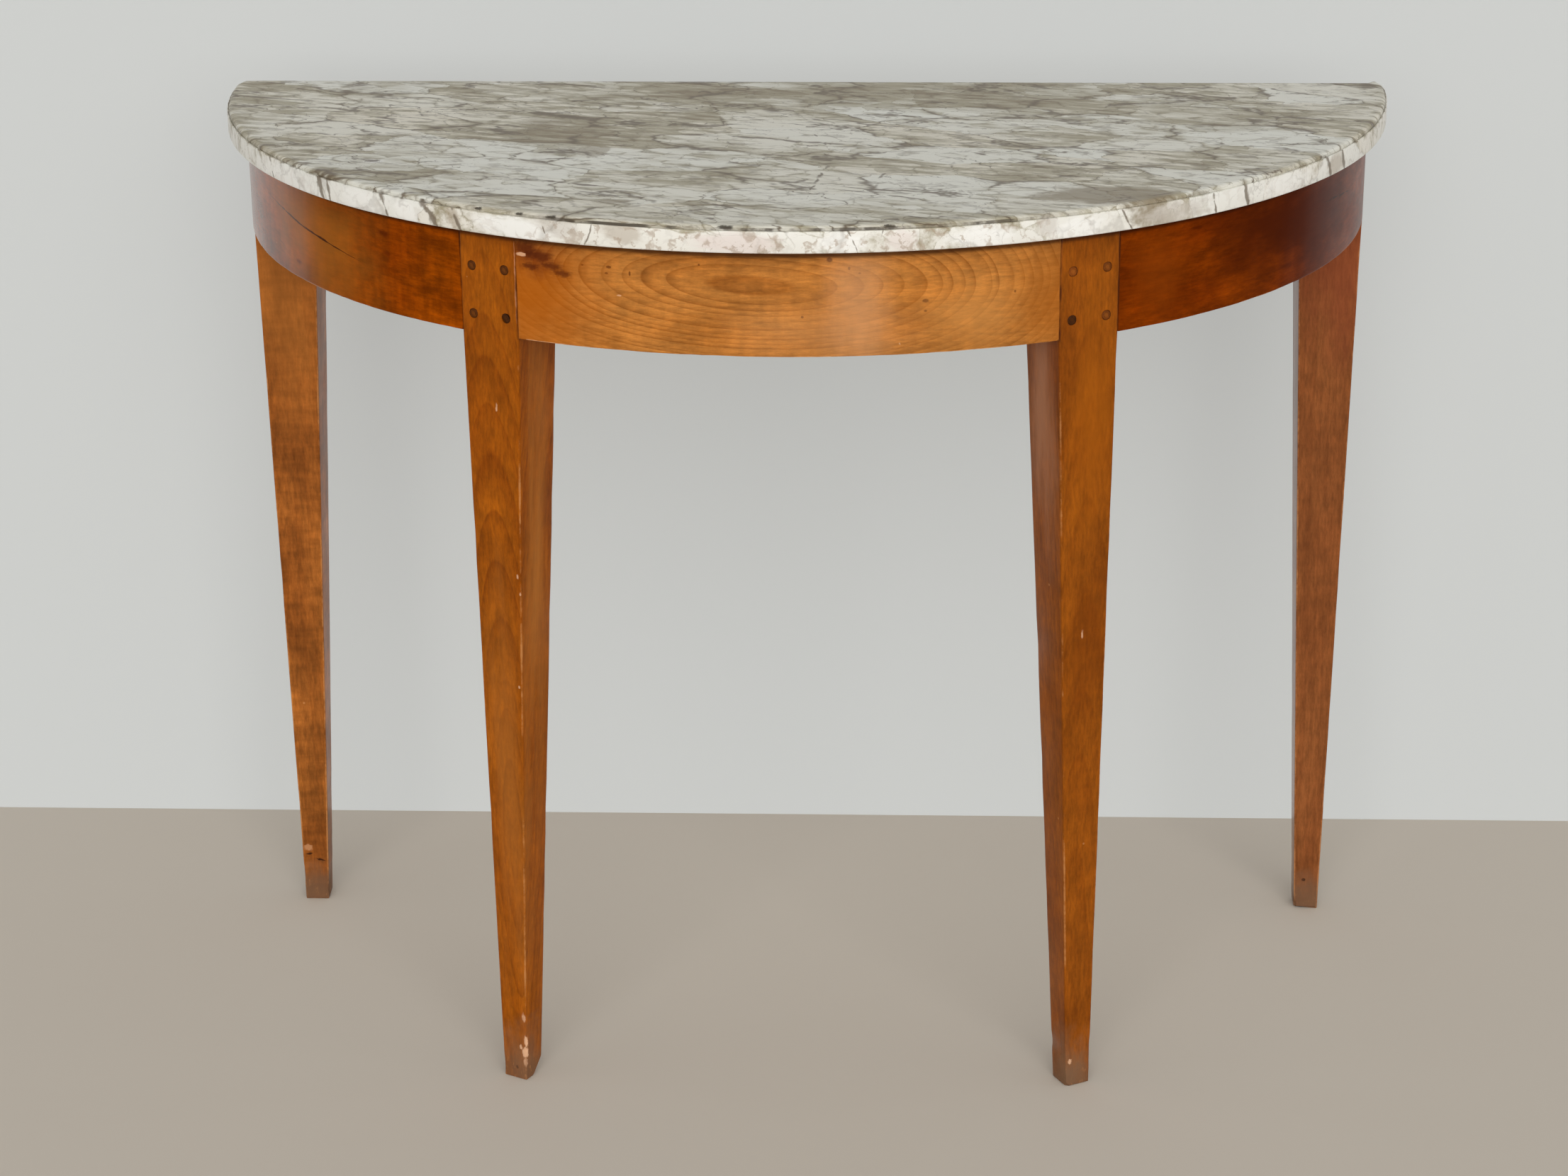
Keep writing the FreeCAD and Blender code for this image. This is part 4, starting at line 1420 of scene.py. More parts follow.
@dataclass
class Peg:
    """One peg through a post and a tenon.

    The crown gives insets as shares of the radius with rises as shares of the dome. The heart and the pith
    are shares of the radius too.
    """

    node: str
    outward: Vector
    look: PegLook
    effects: Effects
    proud: float = 0.3 * MM
    room: float = 0.25 * MM
    dome: float = 0.35 * MM
    crown: Sequence[tuple[float, float]] = ((0.08, 0.55), (0.14, 0.35), (0.3, 0.1))
    wear: float = 0.25 * MM
    wear_waves: float = 400.0
    wear_shift: float = 90.0
    heart: float = 0.62
    pith: float = 0.4
    sides: int = 28

    def __post_init__(self) -> None:
        """Reads the peg's axis, ends and radius."""
        low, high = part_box(self.node)
        middle = (low + high) / 2
        along = [vert.co.dot(self.outward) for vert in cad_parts[self.node].data.vertices]
        self.radius = (high.z - low.z) / 2
        self.length = max(along) - min(along)
        self.tip = middle + self.outward * (max(along) - middle.dot(self.outward))

    @property
    def mouth(self) -> Vector:
        """Where the peg's axis meets the face of the post."""
        return self.tip - self.outward * self.proud

    def build(self) -> bpy.types.Object:
        """Makes the peg with its end rounded over and worn.

        Returns:
            The piece.
        """
        wide, tall, turn, _ = self.look.value
        shell = Shell()
        made = bmesh.ops.create_circle(shell.mesh, cap_ends=True, segments=self.sides, radius=self.radius)
        face = made["verts"][0].link_faces[0]
        lifted = bmesh.ops.extrude_face_region(shell.mesh, geom=[face])
        top = [part for part in lifted["geom"] if isinstance(part, bmesh.types.BMFace)][0]
        bmesh.ops.translate(shell.mesh, verts=top.verts[:], vec=UP * (self.length - self.dome))
        for inset, rise in self.crown:
            bmesh.ops.inset_individual(
                shell.mesh, faces=[top], thickness=self.radius * inset, depth=self.dome * rise,
                use_even_offset=True,
            )
        for vert in shell.mesh.verts:
            if vert.co.z > self.length / 2:
                spot = vert.co * self.wear_waves + self.tip * self.wear_shift
                vert.co.z -= self.wear * max(0.0, noise.noise(spot))
        form = Matrix.Rotation(math.radians(turn), 4, "Z") @ Matrix.Diagonal((wide, tall, 1.0, 1.0))
        seat = Matrix.Translation(self.tip - self.outward * self.length)
        shell.place(seat @ self.outward.to_track_quat("Z", "Y").to_matrix().to_4x4() @ form)
        return shell.finish(f"{self.node}_end", Body.FRAME, Slot.PEG, self.wood(), [self.node])

    def wood(self) -> bpy.types.Material:
        """Makes the peg's end grain, with a heart that is paler the less the peg has darkened.

        Returns:
            The material.
        """
        dark = self.look.value[3]
        shade, core, heart = (
            tone(*(round(channel * (1.0 - fade * dark)) for channel in colour))
            for colour, fade in (((150, 78, 20), 0.55), ((120, 58, 14), 0.7), ((158, 86, 26), 0.3))
        )
        finish = WoodFinish(
            shade, core, core, tone(190, 130, 84), rings=0.7, fibre=0.2, wear=0.1, gloss=0.5, polish=0.2
        )
        size, strength = (self.radius * self.heart,) * 3, 0.85 * (1.0 - dark * dark)
        glow = Spot(tuple(self.tip), size, heart, strength, 0.9, 0.5)
        turn = self.outward.to_track_quat("X", "Z").to_euler()
        grain = Grain(tuple(self.tip + UP * self.radius * self.pith), tuple(turn), 1.6 * MM, 2 * MM)
        return finish.material(f"{self.node}_wood", self.effects, grain, [glow])


@dataclass
class SquareLeg:
    """One square leg: a straight post beside the aprons and a taper below them."""

    name: str
    node: str
    stand: Matrix
    knee: float
    material: bpy.types.Material
    pegs: Sequence[Peg]
    joined: Callable[[Vector], bool]
    chips: Sequence[tuple[Vector, Vector]] = ()
    gouges: Sequence[tuple[Vector, float, float]] = ()
    arris: float = 1.0 * MM
    support: float = 2.4 * MM
    wear: float = 0.7 * MM
    wear_waves: float = 55.0
    foot_wear: float = 2.2 * MM
    bore_depth: float = 5 * MM
    seed: float = 0.0
    slices: Sequence[float] = (
        *(step * 4 * MM for step in range(1, 18)), *(step * 25 * MM for step in range(4, 27))
    )

    def build(self) -> list[bpy.types.Object]:
        """Makes the leg and its pegs.

        Returns:
            The pieces, the leg first.
        """
        low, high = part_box(self.node)
        shell = Shell()
        levels = [Level.read(self.node, height, self.stand) for height in (low.z, self.knee, high.z)]
        rings = [shell.ring(level.corners()) for level in levels]
        for lower, upper in zip(rings, rings[1:]):
            bmesh.ops.bridge_loops(shell.mesh, edges=[*lower, *upper])
        for ring in (rings[0], rings[-1]):
            bmesh.ops.contextual_create(shell.mesh, geom=ring)
        bmesh.ops.recalc_face_normals(shell.mesh, faces=shell.mesh.faces[:])
        for height in self.slices:
            shell.cut(Vector((0.0, 0.0, height)), UP)
        for way in ((1, 0, 0), (-1, 0, 0), (0, 1, 0), (0, -1, 0)):
            faces = shell.side_faces(Vector(way))
            bmesh.ops.inset_region(
                shell.mesh, faces=faces, thickness=self.support, use_boundary=True, use_even_offset=True
            )
        shell.ease_corners(self.arris)
        shell.soil(lambda point: point.z > self.knee - self.support and self.joined(point))
        shell.rub(self.wear, self.wear_waves, self.seed, self.foot_wear)
        for point, reach, depth in self.gouges:
            shell.gouge(point, reach, depth)
        for point, normal in self.chips:
            shell.cut(point, normal.normalized(), clear=True)
        shell.place(self.stand)
        for peg in self.pegs:
            shell.bore(peg.mouth, peg.outward, peg.radius + peg.room, self.bore_depth)
        leg = shell.finish(self.name, Body.FRAME, Slot.LEG, self.material, [self.node])
        return [leg, *(peg.build() for peg in self.pegs)]


@dataclass
class InnerBoard:
    """A straight sawn board inside the frame."""

    name: str
    node: str
    low: Vector
    high: Vector
    material: bpy.types.Material
    arris: float = 0.8 * MM
    support: float = 2.0 * MM
    wear: float = 0.4 * MM
    wear_waves: float = 60.0
    seed: float = 0.0

    def build(self) -> bpy.types.Object:
        """Makes the board with its arrises broken.

        Returns:
            The piece.
        """
        shell = Shell()
        bmesh.ops.create_cube(shell.mesh, size=1.0)
        size = Matrix.Diagonal((*(self.high - self.low), 1.0))
        shell.place(Matrix.Translation((self.low + self.high) / 2) @ size)
        bmesh.ops.inset_individual(
            shell.mesh, faces=shell.mesh.faces[:], thickness=self.support, use_even_offset=True
        )
        shell.ease_corners(self.arris)
        shell.rub(self.wear, self.wear_waves, self.seed)
        return shell.finish(self.name, Body.FRAME, Slot.INNER, self.material, [self.node])


@dataclass(frozen=True)
class Viewpoint:
    """The camera: its place, its angles in degrees and its focal length in pixels of the full picture."""

    place: Vector = Vector((0.10354, -2.73543, 1.43123))
    pitch: float = 20.778
    yaw: float = -2.440
    roll: float = 0.509
    focal: float = 4783.56
    picture_width: float = 2212.0
    sensor: float = 36.0

    def build(self) -> None:
        """Makes the camera and gives it to the scene."""
        pitch, yaw, roll = (math.radians(angle) for angle in (self.pitch, self.yaw, self.roll))
        ahead = Vector((math.sin(yaw) * math.cos(pitch), math.cos(yaw) * math.cos(pitch), -math.sin(pitch)))
        level = Vector((math.cos(yaw), -math.sin(yaw), 0.0))
        down = ahead.cross(level)
        right = level * math.cos(roll) + down * math.sin(roll)
        below = down * math.cos(roll) - level * math.sin(roll)
        data = bpy.data.cameras.new("camera")
        data.sensor_fit = "HORIZONTAL"
        data.sensor_width = self.sensor
        data.lens = self.focal / self.picture_width * self.sensor
        camera = bpy.data.objects.new("camera", data)
        axes = Matrix((right, -below, -ahead)).transposed().to_4x4()
        camera.matrix_world = Matrix.Translation(self.place) @ axes
        bpy.context.scene.collection.objects.link(camera)
        bpy.context.scene.camera = camera


@dataclass(frozen=True)
class Lamp:
    """A soft far lamp: its height and heading in degrees, its strength and how wide its light spreads."""

    name: str
    height: float
    heading: float
    strength: float
    spread: float

    def build(self) -> None:
        """Hangs the lamp so that it shines on the table."""
        data = bpy.data.lights.new(self.name, "SUN")
        data.energy = self.strength
        data.angle = math.radians(self.spread)
        lamp = bpy.data.objects.new(self.name, data)
        turn = Matrix.Rotation(math.radians(self.heading), 4, "Z")
        lamp.matrix_world = turn @ Matrix.Rotation(math.radians(90 - self.height), 4, "X")
        bpy.context.scene.collection.objects.link(lamp)


@dataclass
class Studio:
    """A pale floor, a pale wall behind the table and soft light from the front."""

    floor_colour: Colour = tone(220, 210, 195)
    wall_colour: Colour = tone(206, 208, 206)
    surround: Colour = tone(190, 192, 194)
    ambient: float = 0.42
    roughness: float = 0.8
    specular: float = 0.2
    floor_size: float = 60.0
    floor_drop: float = 0.2 * MM
    wall_y: float = 0.389
    wall_high: float = 3.2
    wall_half: float = 9.0
    wall_glow: float = 0.5
    mirrored: tuple[float, float] = (-1.25, 1.04)
    mirror_fade: float = 0.04
    lamps: tuple[Lamp, ...] = (
        Lamp("front_light", 20.0, 4.0, 2.1, 60.0),
        Lamp("left_light", 12.0, -62.0, 0.55, 90.0),
        Lamp("right_light", 12.0, 62.0, 0.65, 90.0),
        Lamp("rear_light", 42.0, 168.0, 0.25, 90.0),
    )

    def build(self) -> None:
        """Makes the stage and the light."""
        level = Matrix.Translation((0.0, 0.0, -self.floor_drop))
        level = level @ Matrix.Diagonal((self.floor_size, self.floor_size, 1.0, 1.0))
        floor = self._sheet("studio_floor", level, self._floor_material())
        upright = Matrix.Translation((0.0, self.wall_y, self.wall_high / 2))
        upright = upright @ Matrix.Rotation(math.pi / 2, 4, "X")
        upright = upright @ Matrix.Diagonal((2 * self.wall_half, self.wall_high, 1.0, 1.0))
        wall = self._sheet("studio_wall", upright, self._wall_material())
        wall.visible_diffuse = False
        wall.visible_shadow = False
        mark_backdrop(floor, wall)
        for lamp in self.lamps:
            lamp.build()
        self._world()
        bpy.context.scene.view_settings.view_transform = "Standard"

    @staticmethod
    def _sheet(name: str, matrix: Matrix, material: bpy.types.Material) -> bpy.types.Object:
        """Makes a flat sheet one metre square, moved by a matrix.

        Args:
            name: Name of the sheet.
            matrix: Its size and place.
            material: Its material.

        Returns:
            The sheet.
        """
        mesh = bmesh.new()
        bmesh.ops.create_grid(mesh, x_segments=1, y_segments=1, size=0.5, matrix=matrix)
        data = bpy.data.meshes.new(name)
        mesh.to_mesh(data)
        mesh.free()
        data.materials.append(material)
        sheet = bpy.data.objects.new(name, data)
        bpy.context.scene.collection.objects.link(sheet)
        return sheet

    def _matt(self, name: str, colour: Colour) -> tuple[bpy.types.Material, Graph, Socket, Socket]:
        """Starts a plain matt stage material.

        Args:
            name: Name of the material.
            colour: Its colour.

        Returns:
            The material, its tree, the shader's output and the object coordinates.
        """
        material, graph, shader, place = new_material(name)
        finish = {"Base Color": colour, "Roughness": self.roughness, "Specular IOR Level": self.specular}
        graph.wire(shader, finish)
        return material, graph, shader.outputs[0], place

    @staticmethod
    def _one_sided(material: bpy.types.Material, graph: Graph, face: Socket, hidden: Feed) -> None:
        """Makes a stage sheet clear from behind.

        Args:
            material: Its material.
            graph: The material's tree.
            face: The shader of its front.
            hidden: Where the front is clear as well.
        """
        behind = graph.add("ShaderNodeNewGeometry").outputs["Backfacing"]
        clear = graph.add("ShaderNodeBsdfTransparent").outputs[0]
        share = graph.math("MAXIMUM", behind, hidden)
        mixed = graph.add("ShaderNodeMixShader", {0: share, 1: face, 2: clear}).outputs[0]
        graph.wire(material.node_tree.nodes["Material Output"], {"Surface": mixed})

    def _floor_material(self) -> bpy.types.Material:
        """The pale floor, clear from below.

        Returns:
            The material.
        """
        material, graph, face, _ = self._matt("studio_floor", self.floor_colour)
        self._one_sided(material, graph, face, 0.0)
        return material

    def _wall_material(self) -> bpy.types.Material:
        """The pale wall: clear from behind, half lit by itself, and mirrored only over its lit width.

        Returns:
            The material.
        """
        material, graph, face, place = self._matt("studio_wall", self.wall_colour)
        across, (low, high), fade = graph.split(place)[0], self.mirrored, self.mirror_fade
        left = graph.ease(across, low - fade, low + fade)
        right = graph.ease(across, high + fade, high - fade)
        path = graph.add("ShaderNodeLightPath").outputs
        unlit = graph.math("SUBTRACT", 1.0, graph.times(left, right))
        hidden = graph.times(path["Is Glossy Ray"], unlit)
        glow = graph.add("ShaderNodeEmission", {"Color": self.wall_colour, "Strength": 1.0}).outputs[0]
        seen = graph.math("MAXIMUM", path["Is Camera Ray"], path["Is Glossy Ray"])
        share = graph.times(seen, self.wall_glow)
        face = graph.add("ShaderNodeMixShader", {0: share, 1: face, 2: glow}).outputs[0]
        self._one_sided(material, graph, face, hidden)
        return material

    def _world(self) -> None:
        """Sets an even grey surround."""
        world = bpy.data.worlds.new("studio")
        world.use_nodes = True
        ground = world.node_tree.nodes["Background"]
        ground.inputs["Color"].default_value = self.surround
        ground.inputs["Strength"].default_value = self.ambient
        bpy.context.scene.world = world


@dataclass
class DemiluneTable:
    """The whole table, from its frame up."""

    effects: Effects
    bend: Bend
    spare_turn: float = math.radians(4)
    past_rear: float = math.radians(92)
    rear_joint: float = 5 * MM
    bearer_room: float = 0.5 * MM
    eaves_low: float = 9.5 * MM
    eaves_high: float = 5.5 * MM

    def __post_init__(self) -> None:
        """Reads where the posts stand and sets the painted shadow under the slab's edge."""
        low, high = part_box("leg_front_right")
        middle = (low + high) / 2 - self.bend.centre
        self.post_angle = math.atan2(middle.x, -middle.y)
        self.post_half = (high.x - low.x) / (math.cos(self.post_angle) + math.sin(self.post_angle)) / 2
        self.rear_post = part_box("leg_rear_right")[0]
        top = self.bend.apron_high
        # Painted shadow: a dark band on the aprons and legs just below the slab's overhang.
        self.slab_shadow = Band(top - self.eaves_low, top - self.eaves_high, tone(50, 20, 5), 0.8)

    def stand(self, hand: Hand) -> Matrix:
        """The frame of a front leg, turned to face out along the curve."""
        return Matrix.Translation(self.bend.centre) @ Matrix.Rotation(hand.value * self.post_angle, 4, "Z")

    def post_side(self, hand: Hand, side: int) -> tuple[Vector, Vector]:
        """The plane of a front post's side.

        Args:
            hand: Which post.
            side: 1 for the side towards +X in the post's frame, -1 for the other.

        Returns:
            A point of the plane, and its normal into the post.
        """
        stand = self.stand(hand)
        normal = stand.to_3x3() @ Vector((float(-side), 0.0, 0.0))
        return stand @ Vector((side * self.post_half, 0.0, 0.0)), normal

    def aprons(self) -> Iterable[bpy.types.Object]:
        """Builds the three aprons.

        Yields:
            The pieces.
        """
        reach = self.post_angle + self.spare_turn
        grain = Grain(mm(15, -268, 729), (0.0, math.radians(1), math.radians(-3)), 3.4 * MM, 7 * MM)
        wood = HONEY.material("centre_apron_wood", self.effects, grain, self.centre_marks(), self.bend)
        ends = [self.post_side(hand, -hand.value) for hand in Hand]
        yield CurvedApron(
            "centre_apron", "apron_centre", self.bend, (-reach, reach), ends, wood, seed=3.0
        ).build()
        wall_end = (Vector((0.0, self.rear_post.y, 0.0)), Vector((0.0, 1.0, 0.0)))
        near, far = self.post_angle - self.spare_turn, self.past_rear
        for hand in Hand:
            arc = (near, far) if hand is Hand.RIGHT else (-far, -near)
            turn = (0.0, math.radians(2), hand.value * math.radians(56))
            grain = Grain(mm(hand.value * 470, -80, 700), turn, 4.5 * MM, 12 * MM)
            name, marks = f"{hand.word}_apron", self.side_marks(hand)
            wood = SIDE_WOODS[hand].material(f"{name}_wood", self.effects, grain, marks, self.bend)
            ends = [self.post_side(hand, hand.value), wall_end]
            yield CurvedApron(
                name, f"apron_{hand.word}", self.bend, arc, ends, wood, seed=7.0 * hand.value
            ).build()

    def centre_marks(self) -> list[Mark]:
        """Dents, paler and darker clouds, painted sheen, a knot and painted shadow under the slab on the
        centre apron.

        Returns:
            The marks.
        """
        face, pale = self.bend.on_face, tone(222, 170, 130)
        dents = (
            (-138, 739, 2.6, 1.4), (-140, 734, 1.8, 0.9), (-121, 735, 1.0, 2.4), (34, 750, 2.8, 2.2),
            (49, 743, 1.2, 1.6), (57, 739, 1.3, 0.8), (108, 715, 3.2, 1.8), (108, 707, 1.6, 1.0),
            (180, 717, 1.1, 1.3), (13, 705, 1.3, 1.2), (-66, 745, 1.0, 1.0), (-160, 739, 1.4, 0.9),
        )
        knot = (
            (-209, 747, 13, 9), (-197, 742, 17, 6), (-186, 735, 13, 4), (-177, 730, 11, 4),
            (-205, 733, 10, 4),
        )
        return [
            *(
                Spot(face(arc, high), mm(wide, 3, tall), tone(84, 36, 12), 0.75, 0.8)
                for arc, high, wide, tall in dents
            ),
            # Painted sheen: the next two pale spots paint the floor's reflection and a glossy highlight in
            # the apron's middle.
            Spot(face(30, 690), mm(110, 9, 40), tone(206, 144, 88), 0.35, 0.8, 0.95),
            Spot(face(56, 716), mm(38, 9, 90), tone(212, 158, 112), 0.45, 0.6, 0.95),
            Spot(face(146, 700), mm(60, 9, 44), tone(208, 146, 78), 0.45, 0.8, 0.95),
            Spot(face(-215, 710), mm(105, 9, 90), tone(174, 88, 2), 0.85, 0.8, 0.95),
            Spot(face(218, 705), mm(50, 9, 80), tone(156, 86, 20), 0.65, 0.8, 0.95),
            Spot(face(-202, 740), mm(36, 8, 22), tone(112, 44, 8), 0.7, 1.5, 0.9),
            *(
                Spot(face(arc, high), mm(wide, 6, tall), tone(82, 30, 6), 0.75, 1.7, 0.7)
                for arc, high, wide, tall in knot
            ),
            # Painted shadow under the slab's edge.
            self.slab_shadow,
            Spot(face(-213, 742), mm(5, 3, 1.8), pale, 0.9, 0.9, 0.3),
            Spot(face(-130, 717), mm(2.2, 3, 0.8), pale, 0.7, 0.9, 0.3),
        ]

    def side_marks(self, hand: Hand) -> list[Mark]:
        """A paler cloud, darker stains, painted shade on the right one, cracks and painted shadow under the
        slab on a side apron.

        Args:
            hand: Which apron.

        Returns:
            The marks.
        """
        face, dark = self.bend.on_face, tone(44, 18, 8)
        if hand is Hand.LEFT:
            light = Spot(face(-455, 712), mm(130, 30, 90), tone(168, 104, 34), 0.6, 1.0, 0.9)
            deep = tone(84, 28, 2)
            plan = ((-355, 738, 9, 4, 0.7), (-352, 722, 7, 3, 0.5), (-490, 687, 8, 3, 0.6))
            cracks = [
                Line(face(-556, 731), face(-385, 708), 1.0 * MM, dark, 4 * MM, 20.0),
                Line(face(-551, 699), face(-512, 692), 0.7 * MM, dark, 3 * MM, 30.0, 0.5),
            ]
        else:
            light = Spot(face(310, 712), mm(40, 30, 60), tone(136, 62, 8), 0.5, 1.0, 0.9)
            deep = tone(70, 22, 1)
            # The first, broad spot is painted shade where the apron turns away from the light; the small ones
            # are stains.
            plan = ((500, 718, 190, 80, 0.9), (350, 745, 10, 3, 0.6), (470, 690, 16, 4, 0.5))
            cracks = [
                Line(face(536, 729), face(610, 724), 0.9 * MM, dark, 4 * MM, 30.0),
                Line(face(556, 722), face(585, 727), 0.6 * MM, dark, 3 * MM, 40.0, 0.6),
            ]
        stains_and_shade = (
            Spot(face(arc, high), mm(wide, 30, tall), deep, strength, 1.3, 0.8)
            for arc, high, wide, tall, strength in plan
        )
        return [light, *stains_and_shade, *cracks, self.slab_shadow]

    def front_pegs(self, hand: Hand) -> list[Peg]:
        """The four pegs of a front post.

        Args:
            hand: Which post.

        Returns:
            The pegs.
        """
        looks = {
            Hand.LEFT: (PegLook.ROUND, PegLook.OVAL, PegLook.ROUND, PegLook.ROUND),
            Hand.RIGHT: (PegLook.FAINT, PegLook.SQUARED, PegLook.SPLIT, PegLook.SPLIT),
        }[hand]
        places = [(side, row) for side in ("inner", "outer") for row in ("upper", "lower")]
        outward = self.stand(hand).to_3x3() @ Vector((0.0, -1.0, 0.0))
        return [
            Peg(f"peg_front_{hand.word}_{side}_{row}", outward, look, self.effects)
            for (side, row), look in zip(places, looks)
        ]

    def rear_pegs(self, hand: Hand) -> list[Peg]:
        """The four pegs of a rear post: two from the side and two from the back."""
        ways = {"side": Vector((float(hand.value), 0.0, 0.0)), "back": Vector((0.0, 1.0, 0.0))}
        return [
            Peg(f"peg_rear_{hand.word}_{way}_{row}", outward, PegLook.ROUND, self.effects)
            for way, outward in ways.items() for row in ("upper", "lower")
        ]

    def legs(self) -> Iterable[bpy.types.Object]:
        """Builds the four legs with their pegs.

        Yields:
            The pieces.
        """
        for hand in Hand:
            yield from self.front_leg(hand)
            yield from self.rear_leg(hand)

    def front_leg(self, hand: Hand) -> list[bpy.types.Object]:
        """Builds a front leg with its pegs.

        Args:
            hand: Which leg.

        Returns:
            The pieces.
        """
        stand, name = self.stand(hand), f"front_leg_{hand.word}"
        depth, tilt = {Hand.LEFT: (-474, 6.0), Hand.RIGHT: (-452, 2.5)}[hand]
        pith = stand @ Vector(mm(hand.value * 5, depth, 330))
        turn = (0.0, UPRIGHT_GRAIN + math.radians(tilt), hand.value * self.post_angle + math.pi / 2)
        grain = Grain(tuple(pith), turn, 5.5 * MM, 10 * MM)
        wood = FRONT_WOODS[hand].material(f"{name}_wood", self.effects, grain, self.front_marks(hand))
        return SquareLeg(
            name, f"leg_front_{hand.word}", stand, self.bend.apron_low, wood, self.front_pegs(hand),
            lambda point: True, self.foot_chips(hand), self.foot_gouges(hand), seed=11.0 * hand.value,
        ).build()

    def rear_leg(self, hand: Hand) -> list[bpy.types.Object]:
        """Builds a rear leg with its pegs.

        Args:
            hand: Which leg.

        Returns:
            The pieces.
        """
        name, joint = f"rear_leg_{hand.word}", self.rear_post.y + self.rear_joint
        turn = (0.0, UPRIGHT_GRAIN - math.radians(1), 0.0)
        grain = Grain(mm(hand.value * 430, 150, 0), turn, 6 * MM, 12 * MM)
        wood = REAR_WOODS[hand].material(f"{name}_wood", self.effects, grain, self.rear_marks(hand))
        return SquareLeg(
            name, f"leg_rear_{hand.word}", Matrix.Identity(4), self.bend.apron_low, wood,
            self.rear_pegs(hand), lambda point: point.y < joint, seed=17.0 * hand.value,
        ).build()

    def front_foot(self, hand: Hand) -> Level:
        """The sole of a front leg, in the leg's frame."""
        return Level.read(f"leg_front_{hand.word}", 0.0, self.stand(hand))

    def foot_chips(self, hand: Hand) -> list[tuple[Vector, Vector]]:
        """Splits off the bottom corners of a front leg.

        Args:
            hand: Which leg.

        Returns:
            A point and a normal of each split, in the leg's frame.
        """
        foot = self.front_foot(hand)
        if hand is Hand.LEFT:
            return [(Vector((foot.high.x, foot.high.y, 14 * MM)), Vector((0.75, 0.55, -0.5)))]
        return [(Vector((foot.low.x, foot.low.y, 5 * MM)), Vector((-0.6, -0.6, -0.5)))]

    def foot_gouges(self, hand: Hand) -> list[tuple[Vector, float, float]]:
        """Splinters gone from the arris at the foot of a front leg.

        Args:
            hand: Which leg.

        Returns:
            Middle, half height and depth of each, in the leg's frame.
        """
        foot = self.front_foot(hand)
        if hand is Hand.RIGHT:
            return [(Vector((foot.low.x, foot.low.y, 22 * MM)), 9 * MM, 0.9 * MM)]
        return [
            (Vector((foot.high.x, foot.low.y, 30 * MM)), 17 * MM, 2.4 * MM),
            (Vector((foot.high.x, foot.low.y, 62 * MM)), 8 * MM, 1.4 * MM),
        ]

    def front_marks(self, hand: Hand) -> list[Mark]:
        """Nicks, bare splits, clouds, painted light on the inner face, a dull foot and painted slab shadow on
        a front leg.

        Each row of a plan gives a place in the leg's frame, from the leg's axis, the foot's front and the
        floor, a half width, a half height, a colour and a strength, with lengths in millimetres.

        Args:
            hand: Which leg.

        Returns:
            The marks.
        """
        stand, foot = self.stand(hand), self.front_foot(hand)
        knee = Level.read(f"leg_front_{hand.word}", self.bend.apron_low, stand)
        pale, dark, dull = tone(226, 178, 140), tone(52, 22, 6), tone(128, 96, 70)
        if hand is Hand.LEFT:
            arris = foot.high.x / MM
            top, low = (stand @ Vector((knee.high.x - MM, knee.low.y, z * MM)) for z in (752, 684))
            edge = [Line(tuple(top), tuple(low), 0.9 * MM, tone(208, 146, 108), 1.2 * MM, 60.0, 0.6)]
            plan = (
                # Painted light: this first spot lightens the whole inner face, which the lamps light less
                # than the front.
                (26, 14, 330, 26, 520, tone(192, 124, 54), 0.62),
                (-6, -6, 260, 26, 260, tone(172, 108, 48), 0.4),
                (0, 0, 8, 40, 60, dull, 0.6), (arris, 1.5, 39, 2.4, 8, pale, 0.95),
                (arris - 4, 0, 32, 1.8, 3, pale, 0.8), (arris, 0, 26, 3.6, 7, pale, 0.95),
                (arris, 0, 17, 2.6, 5, pale, 0.6), (arris, 0, 62, 2.0, 7, pale, 0.6),
                (arris - 9, 0, 11, 1.6, 2, dark, 0.8), (6, -12, 300, 2.2, 15, dark, 0.5),
                (2, -13.5, 612, 1.4, 5, pale, 0.75), (14, -10, 470, 1.2, 2.4, pale, 0.7),
                (16, -10, 455, 1.4, 2.0, pale, 0.7), (10, -8, 372, 1.2, 1.6, pale, 0.7),
            )
        else:
            arris, edge = foot.low.x / MM, []
            plan = (
                # Painted sheen: this first spot paints a pale reflection on the upper inner face.
                (-26, 14, 610, 26, 170, tone(184, 130, 96), 0.65),
                (6, -11, 600, 30, 130, tone(174, 94, 12), 0.45),
                (12, -8, 410, 26, 110, tone(112, 52, 4), 0.35), (0, 0, 2, 40, 62, dull, 0.85),
                (arris + 3, 0, 24, 2.2, 3, pale, 0.8), (arris, -8, 420, 1.4, 5, pale, 0.7),
            )
        front, broad = Vector((0.0, foot.low.y, 0.0)), 8
        spots = (
            Spot(tuple(stand @ (front + Vector(mm(x, y, z)))), mm(wide, wide, tall), colour, strength, 1.3,
                 0.9 if wide > broad else 0.4)
            for x, y, z, wide, tall, colour, strength in plan
        )
        return [self.slab_shadow, *edge, *spots]

    def rear_marks(self, hand: Hand) -> list[Mark]:
        """A broad cloud, cracks, a dull foot and the painted shadow under the slab's edge on a rear leg.

        Args:
            hand: Which leg.

        Returns:
            The marks.
        """
        foot = Level.read(f"leg_rear_{hand.word}", 0.0, Matrix.Identity(4))
        middle, front = (foot.low.x + foot.high.x) / 2, foot.low.y

        def at(x: float, z: float) -> Triple:
            """A place on the foot's front, in millimetres from its middle and from the floor."""
            return (middle + x * MM, front, z * MM)

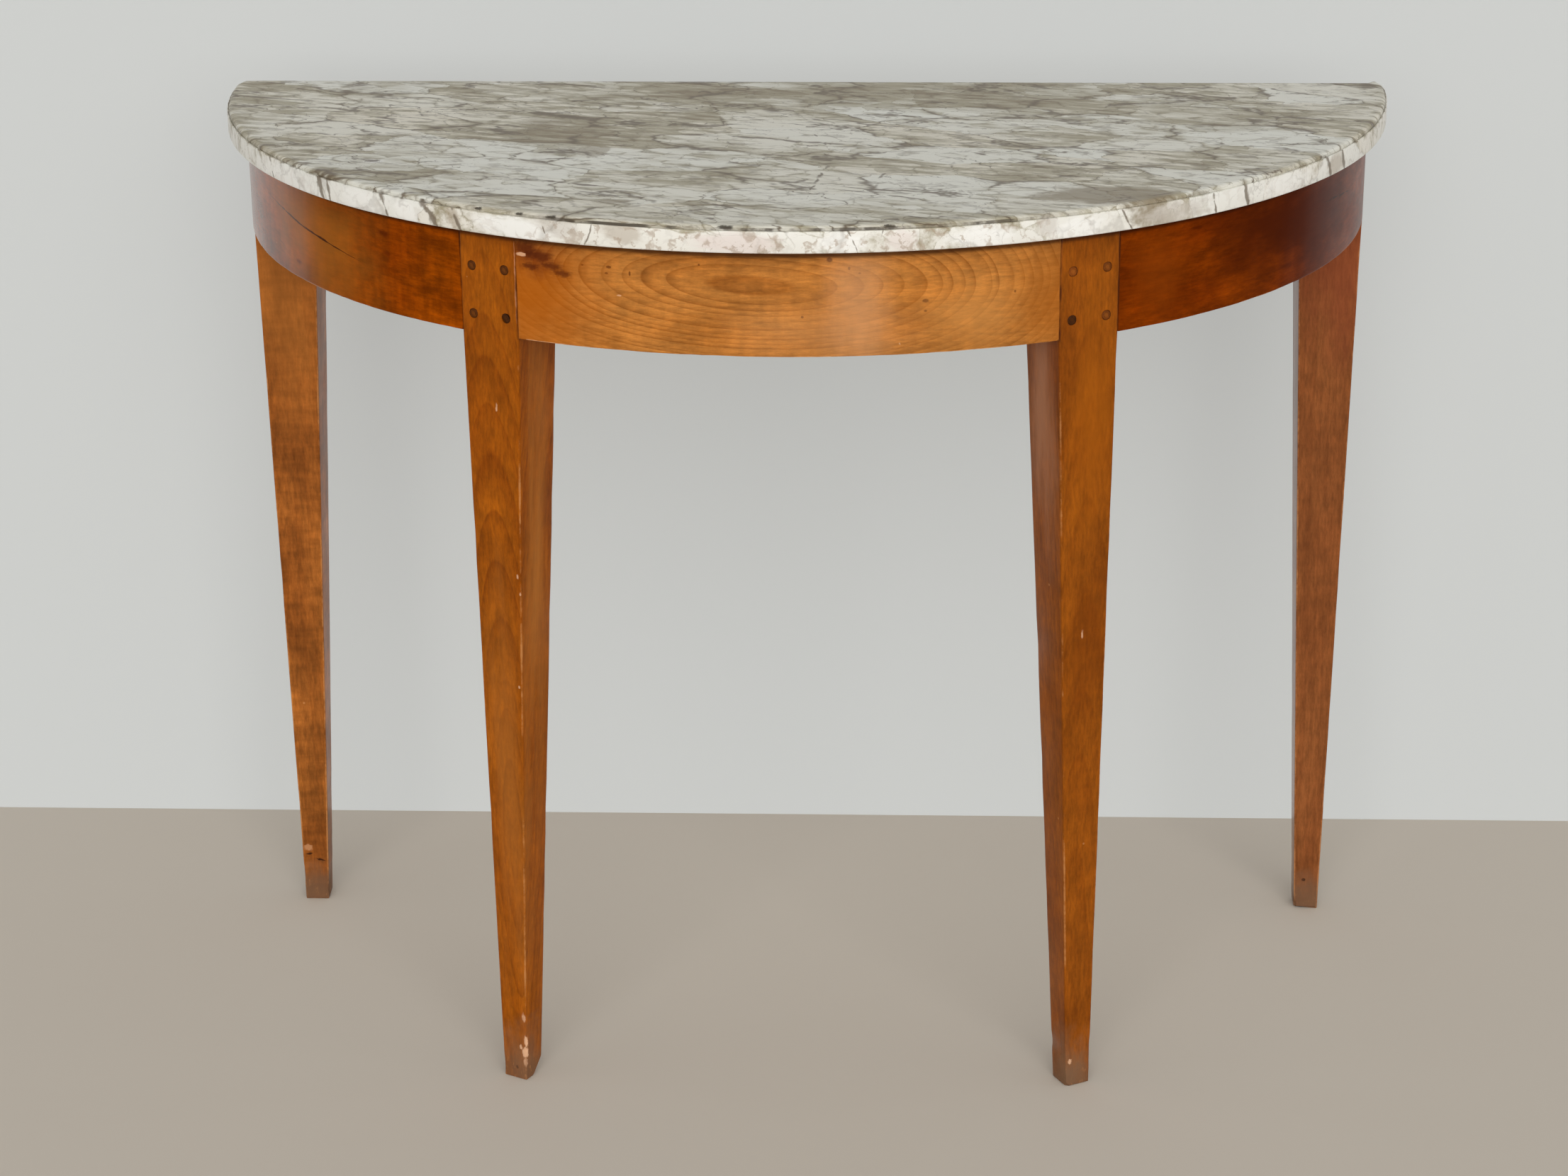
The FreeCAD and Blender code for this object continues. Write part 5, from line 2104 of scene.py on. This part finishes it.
        pale, dark, dull = tone(196, 140, 96), tone(40, 18, 8), tone(112, 82, 60)
        # The painted shadow under the slab's edge, then a dull foot.
        worn = [self.slab_shadow, Spot(at(0, 4), mm(40, 40, 40), dull, 0.7, 1.1, 0.6)]
        if hand is Hand.RIGHT:
            cloud = Spot(at(0, 630), mm(60, 60, 120), tone(142, 66, 42), 0.5, 1.2, 0.9)
            return [cloud, *worn, Spot(at(-3, 30), mm(2.4, 3, 2), dark)]
        return [
            Spot(at(0, 600), mm(60, 60, 170), tone(184, 112, 46), 0.4, 1.2, 0.9),
            *worn,
            Spot(at(-6, 54), mm(5, 3, 4), pale, 0.7, 1.2),
            Line(at(-9, 47), at(-2, 48), 1.1 * MM, dark, 2 * MM, 90.0),
            Line(at(0, 43), at(10, 40), 1.1 * MM, dark, 2 * MM, 90.0),
        ]

    def inner_boards(self) -> Iterable[bpy.types.Object]:
        """Builds the back rail and the cross bearer.

        Yields:
            The pieces.
        """
        low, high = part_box("back_rail")
        front, rear = self.bend.back - self.bend.apron_inner + self.bearer_room, low.y
        low.x, high.x = -self.rear_post.x, self.rear_post.x
        grain = Grain(mm(0, 300, 640), (0.0, math.radians(1), 0.0), 5 * MM, 10 * MM)
        wood = SAWN.material("back_rail_wood", self.effects, grain)
        yield InnerBoard("back_board", "back_rail", low, high, wood, seed=23.0).build()
        low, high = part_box("cross_bearer")
        low.y, high.y = front, rear
        grain = Grain(mm(60, 0, 700), (0.0, 0.0, math.radians(90)), 5 * MM, 10 * MM)
        wood = SAWN.material("cross_bearer_wood", self.effects, grain)
        yield InnerBoard("bearer", "cross_bearer", low, high, wood, seed=29.0).build()

    def build(self) -> list[bpy.types.Object]:
        """Builds every piece."""
        top = MarbleTop(self.bend, self.effects, MarbleFinish()).build()
        return [top, *self.aprons(), *self.legs(), *self.inner_boards()]


def write_sizes() -> None:
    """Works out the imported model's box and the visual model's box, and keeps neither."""
    boxes = {"cad": CAD_BOX, "visual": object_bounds()}
    {key: [list(corner) for corner in box] for key, box in boxes.items()}


def main() -> None:
    """Builds the table, the stage and the camera."""
    logging.basicConfig(level=logging.INFO, format="%(name)s: %(message)s")
    pieces = DemiluneTable(Effects(), Bend.read()).build()
    Studio().build()
    Viewpoint().build()
    write_sizes()
    log.info("%d pieces", len(pieces))


if __name__ == "__main__":
    main()
